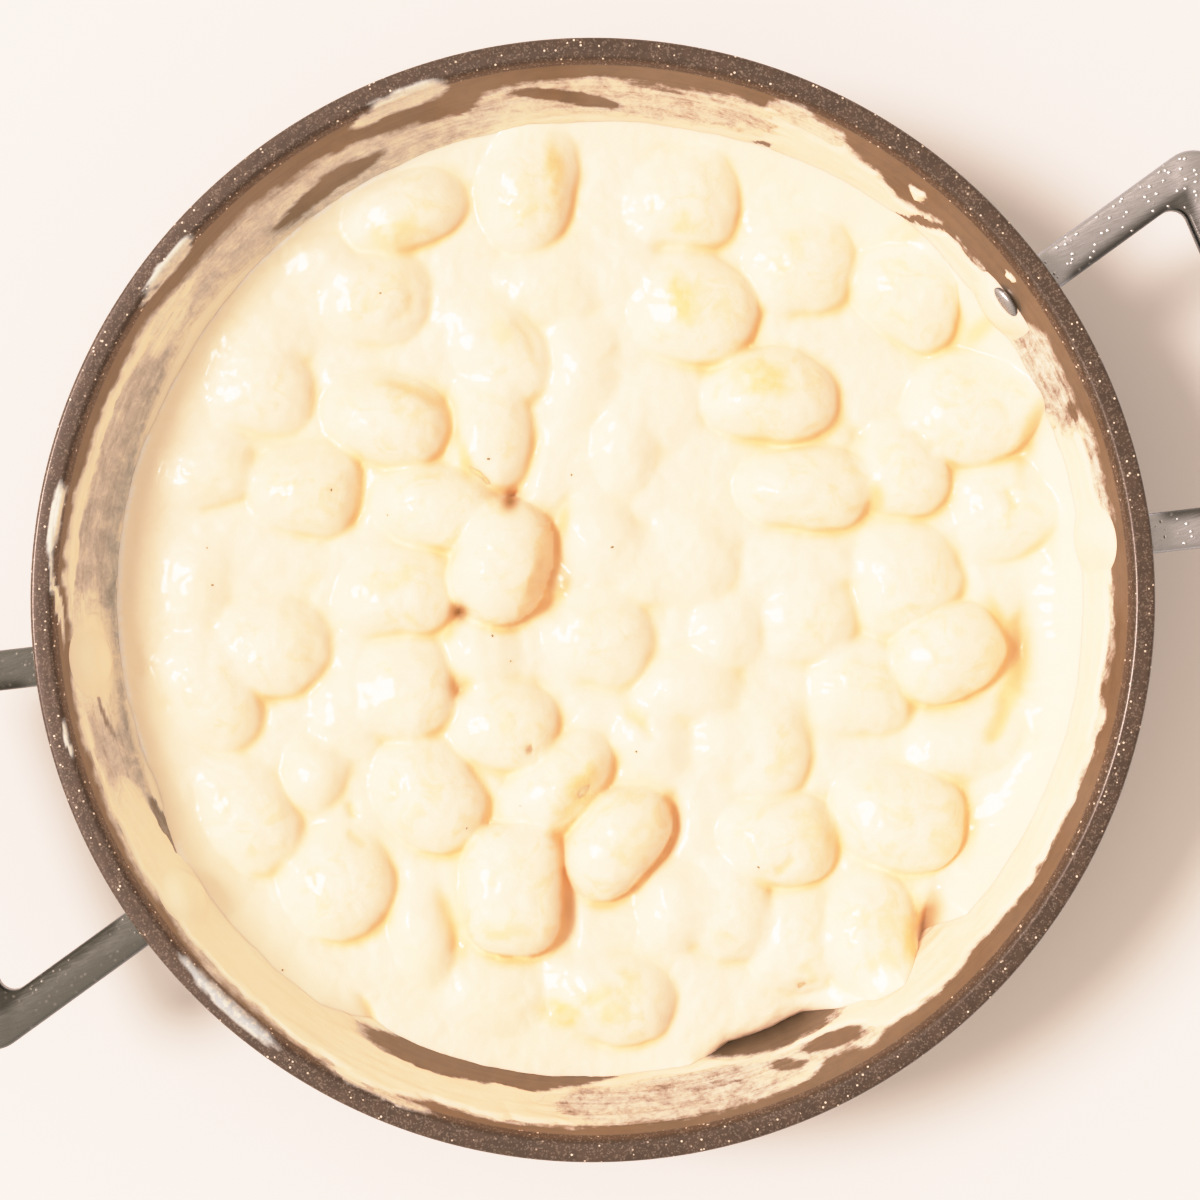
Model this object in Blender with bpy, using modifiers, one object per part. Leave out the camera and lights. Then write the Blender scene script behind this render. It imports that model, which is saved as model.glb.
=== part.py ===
# Gnocchi in cream sauce, in the wide two-handled pan that they are served from.
# Metres, +Z up. The origin is the middle of the pan's base, and X runs along the line of the handles.

import math

import bmesh
import bpy
from mathutils import Matrix, Vector, noise

MM = 0.001
GAP = 0.3 * MM  # air between pieces that touch
FLAT_ANGLE = math.radians(0.3)  # facets that meet flatter than this become one

# The pan: a flared wall under a flat, thicker rim
RIM_RADIUS = 140.8 * MM
PAN_HEIGHT = 70 * MM
RIM_SIDE = 4.6 * MM
RIM_ROUNDING = 1.0 * MM
WALL_TOP_RADIUS = 134.5 * MM
WALL_TOP = 67.5 * MM
STEP_WIDTH = 1.7 * MM  # the small step up from the wall to the flat rim
STEP_HEIGHT = 1.4 * MM
STEP_SLOPE = 0.5 * MM
WALL_FLARE = 0.4  # outward run of the wall for each unit of height
WALL = 3.5 * MM
FLOOR = 5 * MM
RIM_UNDERCUT = 0.6 * MM
INNER_FILLET = 14 * MM
OUTER_FILLET = 19 * MM
FILLET_STEPS = 3
PAN_STEPS = 56

# The handles: two loops with radial arms, each held by two rivets
ARM_SPREAD = math.radians(14.5)  # each arm's angle from the handle's middle
ARM_WIDTH = 10.2 * MM
GRIP_INNER = 175.7 * MM  # the crossbar's edges, from the pan's middle
GRIP_OUTER = 189 * MM
GRIP_BOW = 1.6 * MM
INNER_CORNER = 4 * MM
OUTER_CORNER = 9 * MM
HANDLE_THICKNESS = 7 * MM
HANDLE_EDGE = 1.8 * MM
HANDLE_TILT = math.radians(6)
CORNER_STEPS = 4
ARM_IN_PAD = 5 * MM  # how far the arms run on inside their pads
RIVET_HEIGHT = 53 * MM
PAD_RADIUS = 139.6 * MM
PAD_SIZE = (16 * MM, 22 * MM, 17 * MM)
PAD_ROUNDING = 2.5 * MM
RIVET_HEAD = 6.5 * MM
RIVET_DOME = 2.3 * MM
RIVET_BRIM = 0.25  # the head's height at its edge, over that in its middle
RIVET_SHANK = 3 * MM
RIVET_LENGTH = 8 * MM
RIVET_SEAT = 0.5 * MM  # the flat head stands this far off the hollow wall
RIVET_STEPS = 10
RIVET_ROOM = 4 * MM  # how far a cutter for a rivet reaches into the pan

# The food. Its places are measured with X turned this far clockwise from the handles' line.
FOOD_TURN = math.radians(-21.3)
SAUCE_LEVEL = 40 * MM
SWELL_SIDES = 8
SWELL_RINGS = 4
SWELL_SPREAD = 1.1  # a swell's size where it runs out, over that of what it covers
SWELL_SINK = 1.5 * MM
CORE_RADIUS = 112 * MM
CORE_BOTTOM = FLOOR + 0.4 * MM
CORE_TOP = 37 * MM
CORE_SHOULDER = 5 * MM
CORE_TAPER = 18 * MM  # how much narrower the core is at its foot
CORE_STEPS = 36
GNOCCHI_HALF_HEIGHT = 11 * MM
GNOCCHI_ROUNDNESS = 2.4  # 2 is an ellipsoid, more is fuller at the shoulders
BLOCK_ROUNDNESS = 3.4
GNOCCHI_SIDES = 8
GNOCCHI_RINGS = 6
WALL_MARGIN = 4.4 * MM  # room at the wall for the sauce's film

# Gnocchi that stand out of the sauce, in millimetres and degrees:
# x, y, length and width where they leave the sauce, turn of the length from X, height above the sauce
GNOCCHI = (
    (-49, 101, 31, 19, 18, 5.0),
    (-57, 79, 26, 23, 0, 4.0),
    (-87, 55, 25, 21, -5, 3.5),
    (-54, 47, 32, 24, -15, 6.0),
    (-100, 34, 22, 17, 10, 3.0),
    (-75, 29, 28, 23, 0, 5.0),
    (-40, 24, 34, 22, -10, 6.0),
    (-51, 2, 31, 23, 5, 5.0),
    (-84, -12, 29, 24, 0, 4.5),
    (-100, -23, 31, 21, -55, 4.0),
    (-49, -23, 26, 25, 90, 5.0),
    (-24, -32, 28, 23, -10, 5.0),
    (-43, -50, 33, 25, -50, 6.0),
    (-90, -55, 31, 21, -55, 4.0),
    (-67, -73, 29, 27, -60, 5.0),
    (-9, -48, 33, 20, 42, 6.0),
    (6, -63, 33, 23, 52, 9.0),
    (4, -103, 32, 22, -12, 4.5),
    (35, -79, 26, 21, 90, 3.5),
    (48, -62, 31, 23, -5, 6.0),
    (79, -56, 35, 27, -12, 7.0),
    (53, -88, 25, 19, 90, 3.0),
    (92, -14, 31, 25, 25, 8.5),
    (81, 5, 28, 27, 90, 5.0),
    (57, -5, 23, 21, 0, 3.5),
    (70, -23, 25, 23, 0, 4.0),
    (55, 29, 35, 22, -2, 6.5),
    (80, 34, 26, 24, -45, 5.0),
    (97, 49, 32, 28, -20, 6.0),
    (106, 24, 25, 22, -60, 4.0),
    (45, -38, 28, 19, 95, 3.5),
    (2, -10, 26, 23, -20, 4.0),
    (-17, 107, 32, 24, 80, 5.0),
    (23, 104, 27, 25, 0, 4.5),
    (26, 76, 33, 28, -20, 6.0),
    (46, 53, 35, 24, -3, 7.0),
    (-25, 66, 28, 19, -50, 3.0),
    (54, 87, 27, 25, 0, 4.5),
    (81, 78, 31, 20, -45, 6.0),
    (-27, 44, 31, 20, 90, 4.0),
)
# Two more have a cut or torn side: the last value is how much of the half width is left there
CUT_GNOCCHI = (
    (-24, 10, 32, 24, 65, 10.0, 0.55),
    (72, -86, 31, 24, 85, 6.0, 0.75),
)
# One more is as square as it was cut
BLOCK_GNOCCHI = (-21, -75, 35, 26, 90, 8.0)

# Gnocchi that the sauce covers, seen only as swells: x, y, length, width, turn, height
SWELLS = (
    (-12, 84, 26, 21, 0, 2.0),
    (6, 88, 21, 18, 0, 1.5),
    (-4, 61, 26, 18, 90, 2.0),
    (8, 44, 28, 16, 85, 2.0),
    (19, 52, 21, 18, 60, 1.5),
    (1, 16, 24, 20, -60, 2.5),
    (12, 10, 18, 18, 0, 1.5),
    (25, 13, 25, 22, 90, 2.0),
    (52, 10, 28, 16, 0, 1.5),
    (34, -8, 18, 18, 0, 2.0),
    (24, -23, 27, 18, 5, 2.5),
    (33, -36, 18, 16, 90, 2.0),
    (15, -36, 21, 16, -30, 2.0),
    (94, -37, 30, 19, 20, 2.5),
    (20, -79, 23, 18, 90, 2.5),
    (-73, -45, 18, 16, 70, 2.5),
    (-45, -85, 28, 16, 100, 2.5),
    (-29, -13, 21, 19, 90, 2.0),
    (-64, -27, 23, 18, 90, 1.5),
    (-86, 67, 21, 18, 0, 1.5),
    (-71, 88, 16, 13, 0, 1.5),
    (-27, -103, 23, 18, 0, 1.5),
    (-104, 6, 23, 16, 85, 1.5),
)

# Sauce left on the wall above the sauce's level, in degrees round from the food's X
FILM_START = -52
FILM_END = 78
FILM_LOW = SAUCE_LEVEL + 0.4 * MM
FILM_HIGH = 56 * MM
FILM_THICKNESS = 3 * MM
SMEAR_START = 204
SMEAR_END = 288
SMEAR_LOW = 44 * MM
SMEAR_HIGH = 58 * MM
SMEAR_THICKNESS = 3.4 * MM
FILM_EDGE = 0.8 * MM
FILM_RAGGED = 1.6 * MM
FILM_WAVES = 9
FILM_LEAST = 2 * MM  # its height where it runs out
FILM_SQUARENESS = 0.35  # 1 is a sine along its length, less is fuller towards its ends
FACET_SAG = 0.15 * MM  # about how far the pan's facets lie inside its true round
FILM_STEP = 5.5  # degrees

pieces = bpy.data.collections.new("gnocchi_in_cream_sauce")
cutters = bpy.data.collections.new("cutters")


def clear_scene():
    for piece in list(bpy.data.objects):
        bpy.data.objects.remove(piece, do_unlink=True)
    bpy.context.scene.collection.children.link(pieces)
    bpy.context.scene.collection.children.link(cutters)


def finish(name, colour, roughness, metallic=0.0, subsurface=0.0):
    material = bpy.data.materials.new(name)
    material.use_nodes = True
    shader = material.node_tree.nodes["Principled BSDF"]
    shader.inputs["Base Color"].default_value = (*colour, 1)
    shader.inputs["Roughness"].default_value = roughness
    shader.inputs["Metallic"].default_value = metallic
    shader.inputs["Subsurface Weight"].default_value = subsurface
    return material


def coated_metal():
    return finish("pan_coating", (0.13, 0.105, 0.09), 0.4)


def steel():
    return finish("satin_steel", (0.55, 0.53, 0.5), 0.3, metallic=1)


def cream():
    return finish("cream_sauce", (0.95, 0.82, 0.62), 0.35, subsurface=0.5)


def dough():
    return finish("potato_dough", (0.94, 0.76, 0.45), 0.45, subsurface=0.4)


def add_object(name, mesh, material=None, collection=pieces):
    piece = bpy.data.objects.new(name, mesh)
    if material:
        mesh.materials.append(material)
    if collection is cutters:
        piece.hide_render = True
        piece.display_type = "WIRE"
    collection.objects.link(piece)
    return piece


def mesh_from(name, shape):
    mesh = bpy.data.meshes.new(name)
    shape.to_mesh(mesh)
    shape.free()
    return mesh


def bake(piece):
    """Put the object's modifiers and its place into its mesh."""
    bpy.context.view_layer.update()
    graph = bpy.context.evaluated_depsgraph_get()
    mesh = bpy.data.meshes.new_from_object(piece.evaluated_get(graph))
    mesh.transform(piece.matrix_world)
    piece.modifiers.clear()
    piece.matrix_world = Matrix()
    piece.data = mesh


def boolean(piece, operation, other, solver="EXACT"):
    step = piece.modifiers.new(operation.lower(), "BOOLEAN")
    step.operation = operation
    step.solver = solver
    if isinstance(other, bpy.types.Collection):
        step.operand_type = "COLLECTION"
        step.collection = other
    else:
        step.object = other


def drop_scraps(mesh):
    """Keep the largest shell: loose scraps go, and hollows that are sealed in are filled.
    Facets that a Boolean left side by side in one plane become one."""
    shape = bmesh.new()
    shape.from_mesh(mesh)
    waiting = set(shape.faces)
    shells = []
    while waiting:
        shell = []
        front = [waiting.pop()]
        while front:
            face = front.pop()
            shell.append(face)
            for edge in face.edges:
                for near in edge.link_faces:
                    if near in waiting:
                        waiting.remove(near)
                        front.append(near)
        shells.append(shell)
    largest = max(shells, key=lambda shell: sum(face.calc_area() for face in shell))
    kept = set(largest)
    bmesh.ops.delete(shape, geom=[face for face in shape.faces if face not in kept], context="FACES")
    bmesh.ops.dissolve_limit(shape, angle_limit=FLAT_ANGLE, verts=shape.verts, edges=shape.edges)
    bmesh.ops.triangulate(shape, faces=shape.faces)
    shape.to_mesh(mesh)
    shape.free()


def turned(name, outline, material=None, collection=pieces, steps=PAN_STEPS):
    """A body turned round Z from its outline of (radius, height), axis to axis, down its outer side."""
    mesh = bpy.data.meshes.new(name)
    points = [(radius, 0, height) for radius, height in outline]
    mesh.from_pydata(points, [(i, i + 1) for i in range(len(points) - 1)], [])
    piece = add_object(name, mesh, material, collection)
    turn = piece.modifiers.new("turn", "SCREW")
    turn.steps = turn.render_steps = steps
    turn.use_merge_vertices = True
    turn.merge_threshold = 0.00001
    return piece


def inner_radius(height):
    return WALL_TOP_RADIUS + WALL_FLARE * (height - WALL_TOP)


WALL_ANGLE = math.atan(WALL_FLARE)


def bend(radius, base, wall_offset):
    """The fillet from a flat base to the wall, from the base up."""
    centre_height = base + radius
    wall = inner_radius(centre_height) + wall_offset
    centre_radius = wall - radius / math.cos(WALL_ANGLE)
    points = []
    for i in range(FILLET_STEPS + 1):
        angle = -math.pi / 2 + (math.pi / 2 - WALL_ANGLE) * i / FILLET_STEPS
        points.append((centre_radius + radius * math.cos(angle), centre_height + radius * math.sin(angle)))
    return points


def pan_outline():
    wall_offset = WALL / math.cos(WALL_ANGLE)
    rim_bottom = PAN_HEIGHT - RIM_SIDE
    inside = [(0, FLOOR)] + bend(INNER_FILLET, FLOOR, 0)
    inside += [(WALL_TOP_RADIUS, WALL_TOP), (WALL_TOP_RADIUS + STEP_SLOPE, WALL_TOP + STEP_HEIGHT)]
    rim = [
        (WALL_TOP_RADIUS + STEP_WIDTH, PAN_HEIGHT),
        (RIM_RADIUS - RIM_ROUNDING, PAN_HEIGHT),
        (RIM_RADIUS - 0.3 * RIM_ROUNDING, PAN_HEIGHT - 0.3 * RIM_ROUNDING),
        (RIM_RADIUS, PAN_HEIGHT - RIM_ROUNDING),
        (RIM_RADIUS, rim_bottom + 0.8 * RIM_ROUNDING),
        (RIM_RADIUS - 0.8 * RIM_ROUNDING, rim_bottom),
        (inner_radius(rim_bottom) + wall_offset, rim_bottom - RIM_UNDERCUT),
    ]
    outside = bend(OUTER_FILLET, 0, wall_offset)[::-1] + [(0, 0)]
    return inside + rim + outside


def rivet_places():
    """Each rivet's name and its angle round the pan."""
    for side, middle in (("right", 0), ("left", math.pi)):
        yield side + "_a", middle - ARM_SPREAD
        yield side + "_b", middle + ARM_SPREAD


def rivet_matrix(angle):
    """The place on the inner wall, with local Z pointing into the pan."""
    seat = Vector((inner_radius(RIVET_HEIGHT), 0, RIVET_HEIGHT))
    inward = Vector((-math.cos(WALL_ANGLE), 0, math.sin(WALL_ANGLE)))
    turn = inward.to_track_quat("Z", "Y").to_matrix().to_4x4()
    return Matrix.Rotation(angle, 4, "Z") @ Matrix.Translation(seat) @ turn


def make_rivets():
    dome = []
    for i in range(4):
        angle = math.pi / 2 * i / 3
        share = RIVET_BRIM + (1 - RIVET_BRIM) * math.cos(angle)
        dome.append((RIVET_HEAD * math.sin(angle), RIVET_SEAT + RIVET_DOME * share))
    outline = dome + [
        (RIVET_HEAD, RIVET_SEAT),
        (RIVET_SHANK, RIVET_SEAT),
        (RIVET_SHANK, -RIVET_LENGTH),
        (0, -RIVET_LENGTH),
    ]
    for name, angle in rivet_places():
        rivet = turned("rivet_" + name, outline, steel(), steps=RIVET_STEPS)
        rivet.matrix_world = rivet_matrix(angle)


def rivet_cutter(name, angle, radius, low, high):
    outline = [(0, high), (radius, high), (radius, low), (0, low)]
    cutter = turned(name, outline, collection=cutters, steps=RIVET_STEPS)
    cutter.matrix_world = rivet_matrix(angle)
    return cutter


def make_pan():
    pan = turned("pan_body", pan_outline(), coated_metal())
    for name, angle in rivet_places():
        hole = rivet_cutter("hole_" + name, angle, RIVET_SHANK + GAP, -RIVET_LENGTH, RIVET_ROOM)
        boolean(pan, "DIFFERENCE", hole)


def rounded_corner(corner, before, after, radius):
    """Points of the arc that rounds a corner, on the way from one point to another."""
    back = (before - corner).normalized()
    onward = (after - corner).normalized()
    half = back.angle(onward) / 2
    centre = corner + (back + onward).normalized() * radius / math.sin(half)
    first = corner + back * radius / math.tan(half) - centre
    turn = math.copysign(math.pi - 2 * half, onward.cross(back))
    step = turn / CORNER_STEPS
    return [centre + Matrix.Rotation(step * i, 2) @ first for i in range(CORNER_STEPS + 1)]


def handle_outline():
    """The loop seen from above: round the outside from one arm's end to the other's, then back inside."""
    arm = Vector((math.cos(ARM_SPREAD), math.sin(ARM_SPREAD)))
    side = Vector((-arm.y, arm.x)) * ARM_WIDTH / 2
    start = arm * (PAD_RADIUS - ARM_IN_PAD)
    edges = []
    sides = ((start + side, GRIP_OUTER, OUTER_CORNER), (start - side, GRIP_INNER, INNER_CORNER))
    for end, grip, radius in sides:
        corner = end + arm * (grip - end.x) / arm.x
        middle = Vector((grip + GRIP_BOW, 0))
        half = [end] + rounded_corner(corner, end, middle, radius)
        edges.append(half + [middle] + [Vector((point.x, -point.y)) for point in reversed(half)])
    outer, inner = edges
    return outer + inner[::-1]


def make_loop(name, place):
    data = bpy.data.curves.new(name, "CURVE")
    data.dimensions = "2D"
    data.fill_mode = "BOTH"
    data.extrude = HANDLE_THICKNESS / 2 - HANDLE_EDGE
    data.bevel_depth = HANDLE_EDGE
    data.bevel_resolution = 1
    data.offset = -HANDLE_EDGE
    spline = data.splines.new("POLY")
    line = handle_outline()
    spline.points.add(len(line) - 1)
    for point, (x, y) in zip(spline.points, line):
        point.co = (x, y, 0, 1)
    spline.use_cyclic_u = True
    curve = bpy.data.objects.new(name + "_curve", data)
    pieces.objects.link(curve)
    curve.matrix_world = place
    bpy.context.view_layer.update()
    graph = bpy.context.evaluated_depsgraph_get()
    mesh = bpy.data.meshes.new_from_object(curve.evaluated_get(graph))
    mesh.name = name
    shape = bmesh.new()
    shape.from_mesh(mesh)
    bmesh.ops.remove_doubles(shape, verts=shape.verts, dist=0.00001)
    bmesh.ops.recalc_face_normals(shape, faces=shape.faces)
    shape.to_mesh(mesh)
    shape.free()
    loop = add_object(name, mesh, steel())
    loop.matrix_world = curve.matrix_world
    bpy.data.objects.remove(curve)
    return loop


def make_pad(angle):
    shape = bmesh.new()
    bmesh.ops.create_cube(shape, size=1)
    bmesh.ops.scale(shape, verts=shape.verts, vec=PAD_SIZE)
    bmesh.ops.bevel(shape, geom=shape.edges, offset=PAD_ROUNDING, segments=2, affect="EDGES", profile=0.5)
    middle = Vector((PAD_RADIUS - PAD_SIZE[0] / 2, 0, RIVET_HEIGHT))
    place = Matrix.Rotation(angle, 4, "Z") @ Matrix.Translation(middle)
    bmesh.ops.transform(shape, matrix=place, verts=shape.verts)
    return add_object("pad", mesh_from("pad", shape), collection=cutters)


def make_handles():
    clearance = turned("wall_clearance", wall_clearance_outline(), collection=cutters, steps=2 * PAN_STEPS)
    attach = Vector((PAD_RADIUS, 0, RIVET_HEIGHT))
    tilt = Matrix.Translation(attach) @ Matrix.Rotation(-HANDLE_TILT, 4, "Y")
    tilt = tilt @ Matrix.Translation((-PAD_RADIUS, 0, 0))
    for side, middle in (("right", 0), ("left", math.pi)):
        loop = make_loop("handle_" + side, Matrix.Rotation(middle, 4, "Z") @ tilt)
        arms = (middle - ARM_SPREAD, middle + ARM_SPREAD)
        for angle in arms:
            pad = make_pad(angle)
            boolean(loop, "UNION", pad)
            bake(loop)
            bpy.data.objects.remove(pad)
        boolean(loop, "DIFFERENCE", clearance)
        for angle in arms:
            bore = rivet_cutter("bore", angle, RIVET_SHANK + GAP, -RIVET_LENGTH - 2 * GAP, RIVET_ROOM)
            boolean(loop, "DIFFERENCE", bore)


def wall_clearance_outline():
    """The pan's outer wall, grown by the gap, as a plain cone from below the pads to the rim."""
    offset = WALL / math.cos(WALL_ANGLE) + GAP + FACET_SAG
    low = RIVET_HEIGHT - 2 * PAD_SIZE[2]
    return [
        (0, PAN_HEIGHT),
        (inner_radius(PAN_HEIGHT) + offset, PAN_HEIGHT),
        (inner_radius(low) + offset, low),
        (0, low),
    ]


def full_half_size(visible, rise, roundness):
    """Half the size of a sunk piece at its widest, from its size where it leaves the sauce."""
    depth = (GNOCCHI_HALF_HEIGHT - rise) / GNOCCHI_HALF_HEIGHT
    return visible / 2 / (1 - depth**roundness) ** (1 / roundness)


def fuller(value, roundness):
    """A sine or cosine bent so that the round it draws is fuller than a circle."""
    return math.copysign(abs(value) ** (2 / roundness), value)


def add_gnocco(name, row, grow, collection, roundness=GNOCCHI_ROUNDNESS):
    x, y, length, width = (value * MM for value in row[:4])
    turn = math.radians(row[4])
    rise = row[5] * MM
    half = Vector((
        full_half_size(length, rise, roundness) + grow,
        full_half_size(width, rise, roundness) + grow,
        GNOCCHI_HALF_HEIGHT + grow,
    ))
    cut = half.y
    if len(row) > 6:
        cut = (half.y - grow) * row[6] + grow
    centre = Vector((x, y, SAUCE_LEVEL + rise - GNOCCHI_HALF_HEIGHT))
    rotation = Matrix.Rotation(turn, 3, "Z")
    shape = bmesh.new()
    bmesh.ops.create_uvsphere(shape, u_segments=GNOCCHI_SIDES, v_segments=GNOCCHI_RINGS, radius=1)
    pressed = False
    for vertex in shape.verts:
        spread = vertex.co.to_2d().length
        around = math.atan2(vertex.co.y, vertex.co.x)
        point = Vector((
            half.x * fuller(vertex.co.z, roundness),
            half.y * fuller(spread, roundness) * fuller(math.cos(around), roundness),
            half.z * fuller(spread, roundness) * fuller(math.sin(around), roundness),
        ))
        point.y = max(point.y, -cut)
        point = rotation @ point + centre
        limit = inner_radius(min(point.z, SAUCE_LEVEL)) - WALL_MARGIN + grow
        flat = point.to_2d()
        if flat.length > limit:
            point.x, point.y = flat.normalized() * limit
            pressed = True
        vertex.co = point
    if pressed:
        bmesh.ops.triangulate(shape, faces=shape.faces, quad_method="FIXED")
    bmesh.ops.rotate(shape, verts=shape.verts, matrix=Matrix.Rotation(FOOD_TURN, 3, "Z"))
    return add_object(name, mesh_from(name, shape), collection=collection)


def make_heap(name, grow, material, collection):
    """The core with the gnocchi that show fused on, each piece grown by the same amount."""
    outline = [
        (0, CORE_TOP + grow),
        (CORE_RADIUS - CORE_SHOULDER + grow, CORE_TOP + grow),
        (CORE_RADIUS + grow, CORE_TOP - CORE_SHOULDER),
        (CORE_RADIUS - CORE_TAPER + grow, CORE_BOTTOM - grow),
        (0, CORE_BOTTOM - grow),
    ]
    heap = turned(name, outline, material, collection, steps=CORE_STEPS)
    bake(heap)
    loose = bpy.data.collections.new("loose_gnocchi")
    bpy.context.scene.collection.children.link(loose)
    for row in GNOCCHI + CUT_GNOCCHI:
        add_gnocco("gnocco", row, grow, loose)
    add_gnocco("gnocco", BLOCK_GNOCCHI, grow, loose, BLOCK_ROUNDNESS)
    boolean(heap, "UNION", loose, solver="MANIFOLD")
    bake(heap)
    for piece in list(loose.objects):
        bpy.data.objects.remove(piece)
    bpy.data.collections.remove(loose)
    drop_scraps(heap.data)
    return heap


def add_swell(row, collection):
    """A low dome in the sauce's top, over a gnocco that it covers."""
    x, y, length, width, turn, rise = row
    shape = bmesh.new()
    bmesh.ops.create_uvsphere(shape, u_segments=SWELL_SIDES, v_segments=SWELL_RINGS, radius=1)
    size = (SWELL_SPREAD * length * MM / 2, SWELL_SPREAD * width * MM / 2, rise * MM + SWELL_SINK)
    bmesh.ops.scale(shape, verts=shape.verts, vec=size)
    bmesh.ops.rotate(shape, verts=shape.verts, matrix=Matrix.Rotation(math.radians(turn), 3, "Z"))
    bmesh.ops.translate(shape, verts=shape.verts, vec=(x * MM, y * MM, SAUCE_LEVEL - SWELL_SINK))
    bmesh.ops.rotate(shape, verts=shape.verts, matrix=Matrix.Rotation(FOOD_TURN, 3, "Z"))
    add_object("swell", mesh_from("swell", shape), collection=collection)


def make_sauce():
    slant = GAP / math.cos(WALL_ANGLE)
    fillet = bend(INNER_FILLET - GAP, FLOOR + GAP, -slant)
    top = [(0, SAUCE_LEVEL), (inner_radius(SAUCE_LEVEL) - slant, SAUCE_LEVEL)]
    sauce = turned("cream_sauce", top + fillet[::-1] + [(0, FLOOR + GAP)], cream())
    bake(sauce)
    loose = bpy.data.collections.new("loose_swells")
    bpy.context.scene.collection.children.link(loose)
    for row in SWELLS:
        add_swell(row, loose)
    boolean(sauce, "UNION", loose, solver="MANIFOLD")
    bake(sauce)
    for piece in list(loose.objects):
        bpy.data.objects.remove(piece)
    bpy.data.collections.remove(loose)
    room = make_heap("room_for_gnocchi", GAP, None, cutters)
    boolean(sauce, "DIFFERENCE", room, solver="MANIFOLD")
    bake(sauce)
    drop_scraps(sauce.data)
    bpy.data.objects.remove(room)


def make_wall_sauce(name, start, end, low, high, thickness):
    """A strip of sauce up the wall, with a ragged upper edge and ends that run out."""
    count = round((end - start) / FILM_STEP)
    slant = GAP / math.cos(WALL_ANGLE) + FACET_SAG
    shape = bmesh.new()
    rings = []
    for i in range(count + 1):
        share = i / count
        angle = math.radians(start + (end - start) * share) + FOOD_TURN
        body = math.sin(math.pi * share) ** FILM_SQUARENESS if 0 < share < 1 else 0
        ragged = FILM_RAGGED * noise.noise(Vector((share * FILM_WAVES, high / MM, 0)))
        upper = low + FILM_LEAST + (high - low - FILM_LEAST + ragged) * body
        deep = FILM_EDGE + (thickness - FILM_EDGE) * body
        section = (
            (inner_radius(low) - slant, low),
            (inner_radius(upper) - slant, upper),
            (inner_radius(upper) - slant - FILM_EDGE, upper),
            (inner_radius((low + upper) / 2) - slant - deep, (low + upper) / 2),
            (inner_radius(low) - slant - deep, low),
        )
        ring = []
        for radius, height in section:
            ring.append(shape.verts.new((radius * math.cos(angle), radius * math.sin(angle), height)))
        rings.append(ring)
    for first, second in zip(rings, rings[1:]):
        for i in range(len(first)):
            after = (i + 1) % len(first)
            shape.faces.new((first[i], first[after], second[after], second[i]))
    shape.faces.new(rings[0])
    shape.faces.new(rings[-1])
    bmesh.ops.recalc_face_normals(shape, faces=shape.faces)
    strip = add_object(name, mesh_from(name, shape), cream())
    for rivet, angle in rivet_places():
        head = rivet_cutter("head_" + rivet, angle, RIVET_HEAD + 2 * GAP, -2 * MM, 3 * RIVET_ROOM)
        boolean(strip, "DIFFERENCE", head)
    bake(strip)
    drop_scraps(strip.data)


def shade(piece):
    piece.data.shade_smooth()
    piece.data.set_sharp_from_angle(angle=math.radians(40))


clear_scene()
make_pan()
make_handles()
make_rivets()
make_heap("gnocchi", 0, dough(), pieces)
make_sauce()
make_wall_sauce("sauce_film", FILM_START, FILM_END, FILM_LOW, FILM_HIGH, FILM_THICKNESS)
make_wall_sauce("sauce_smear", SMEAR_START, SMEAR_END, SMEAR_LOW, SMEAR_HIGH, SMEAR_THICKNESS)
for made in pieces.objects:
    shade(made)
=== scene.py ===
# Gnocchi in cream sauce, in a two-handled pan that is seen from straight above.
import math

import bmesh
import bpy
import numpy as np
from mathutils import Matrix, Vector, noise


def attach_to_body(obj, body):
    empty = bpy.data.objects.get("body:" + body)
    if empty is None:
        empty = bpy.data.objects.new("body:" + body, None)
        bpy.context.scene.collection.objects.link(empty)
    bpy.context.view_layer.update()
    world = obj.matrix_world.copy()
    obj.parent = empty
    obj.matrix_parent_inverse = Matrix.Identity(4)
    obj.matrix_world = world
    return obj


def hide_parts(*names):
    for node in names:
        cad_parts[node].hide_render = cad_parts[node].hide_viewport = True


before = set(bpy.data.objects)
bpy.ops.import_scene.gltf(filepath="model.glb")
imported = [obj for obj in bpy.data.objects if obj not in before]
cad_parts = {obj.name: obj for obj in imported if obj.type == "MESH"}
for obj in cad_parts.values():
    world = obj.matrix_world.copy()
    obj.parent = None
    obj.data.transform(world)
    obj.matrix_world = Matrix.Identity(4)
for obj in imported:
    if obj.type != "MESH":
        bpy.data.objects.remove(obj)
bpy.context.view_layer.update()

mm = 0.001
foodTurn = math.radians(-21.3)  # the food's x runs to the camera's right, this far from the handles' line


# Small tools for the materials

def newMaterial(name, **values):
    material = bpy.data.materials.new(name)
    material.use_nodes = True
    tree = material.node_tree
    shader = tree.nodes["Principled BSDF"]
    for socket, value in values.items():
        shader.inputs[socket.replace("_", " ")].default_value = value
    return material, tree, shader


def addNode(tree, kind, inputs=(), **settings):
    node = tree.nodes.new("ShaderNode" + kind)
    for name, value in settings.items():
        setattr(node, name, value)
    for socket, value in dict(inputs).items():
        if isinstance(value, bpy.types.NodeSocket):
            tree.links.new(value, node.inputs[socket])
        else:
            node.inputs[socket].default_value = value
    return node


def objectPlace(tree, scale=(1, 1, 1), turn=0.0):
    where = addNode(tree, "TexCoord")
    moved = addNode(tree, "Mapping", {
        "Vector": where.outputs["Object"], "Scale": scale, "Rotation": (0, 0, turn),
    })
    return moved.outputs["Vector"]


def noiseOf(tree, place, size, detail=4, roughness=0.55, distortion=0.0):
    made = addNode(tree, "TexNoise", {
        "Vector": place, "Scale": 1 / size,
        "Detail": detail, "Roughness": roughness, "Distortion": distortion,
    })
    return made.outputs["Fac"]


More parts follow.
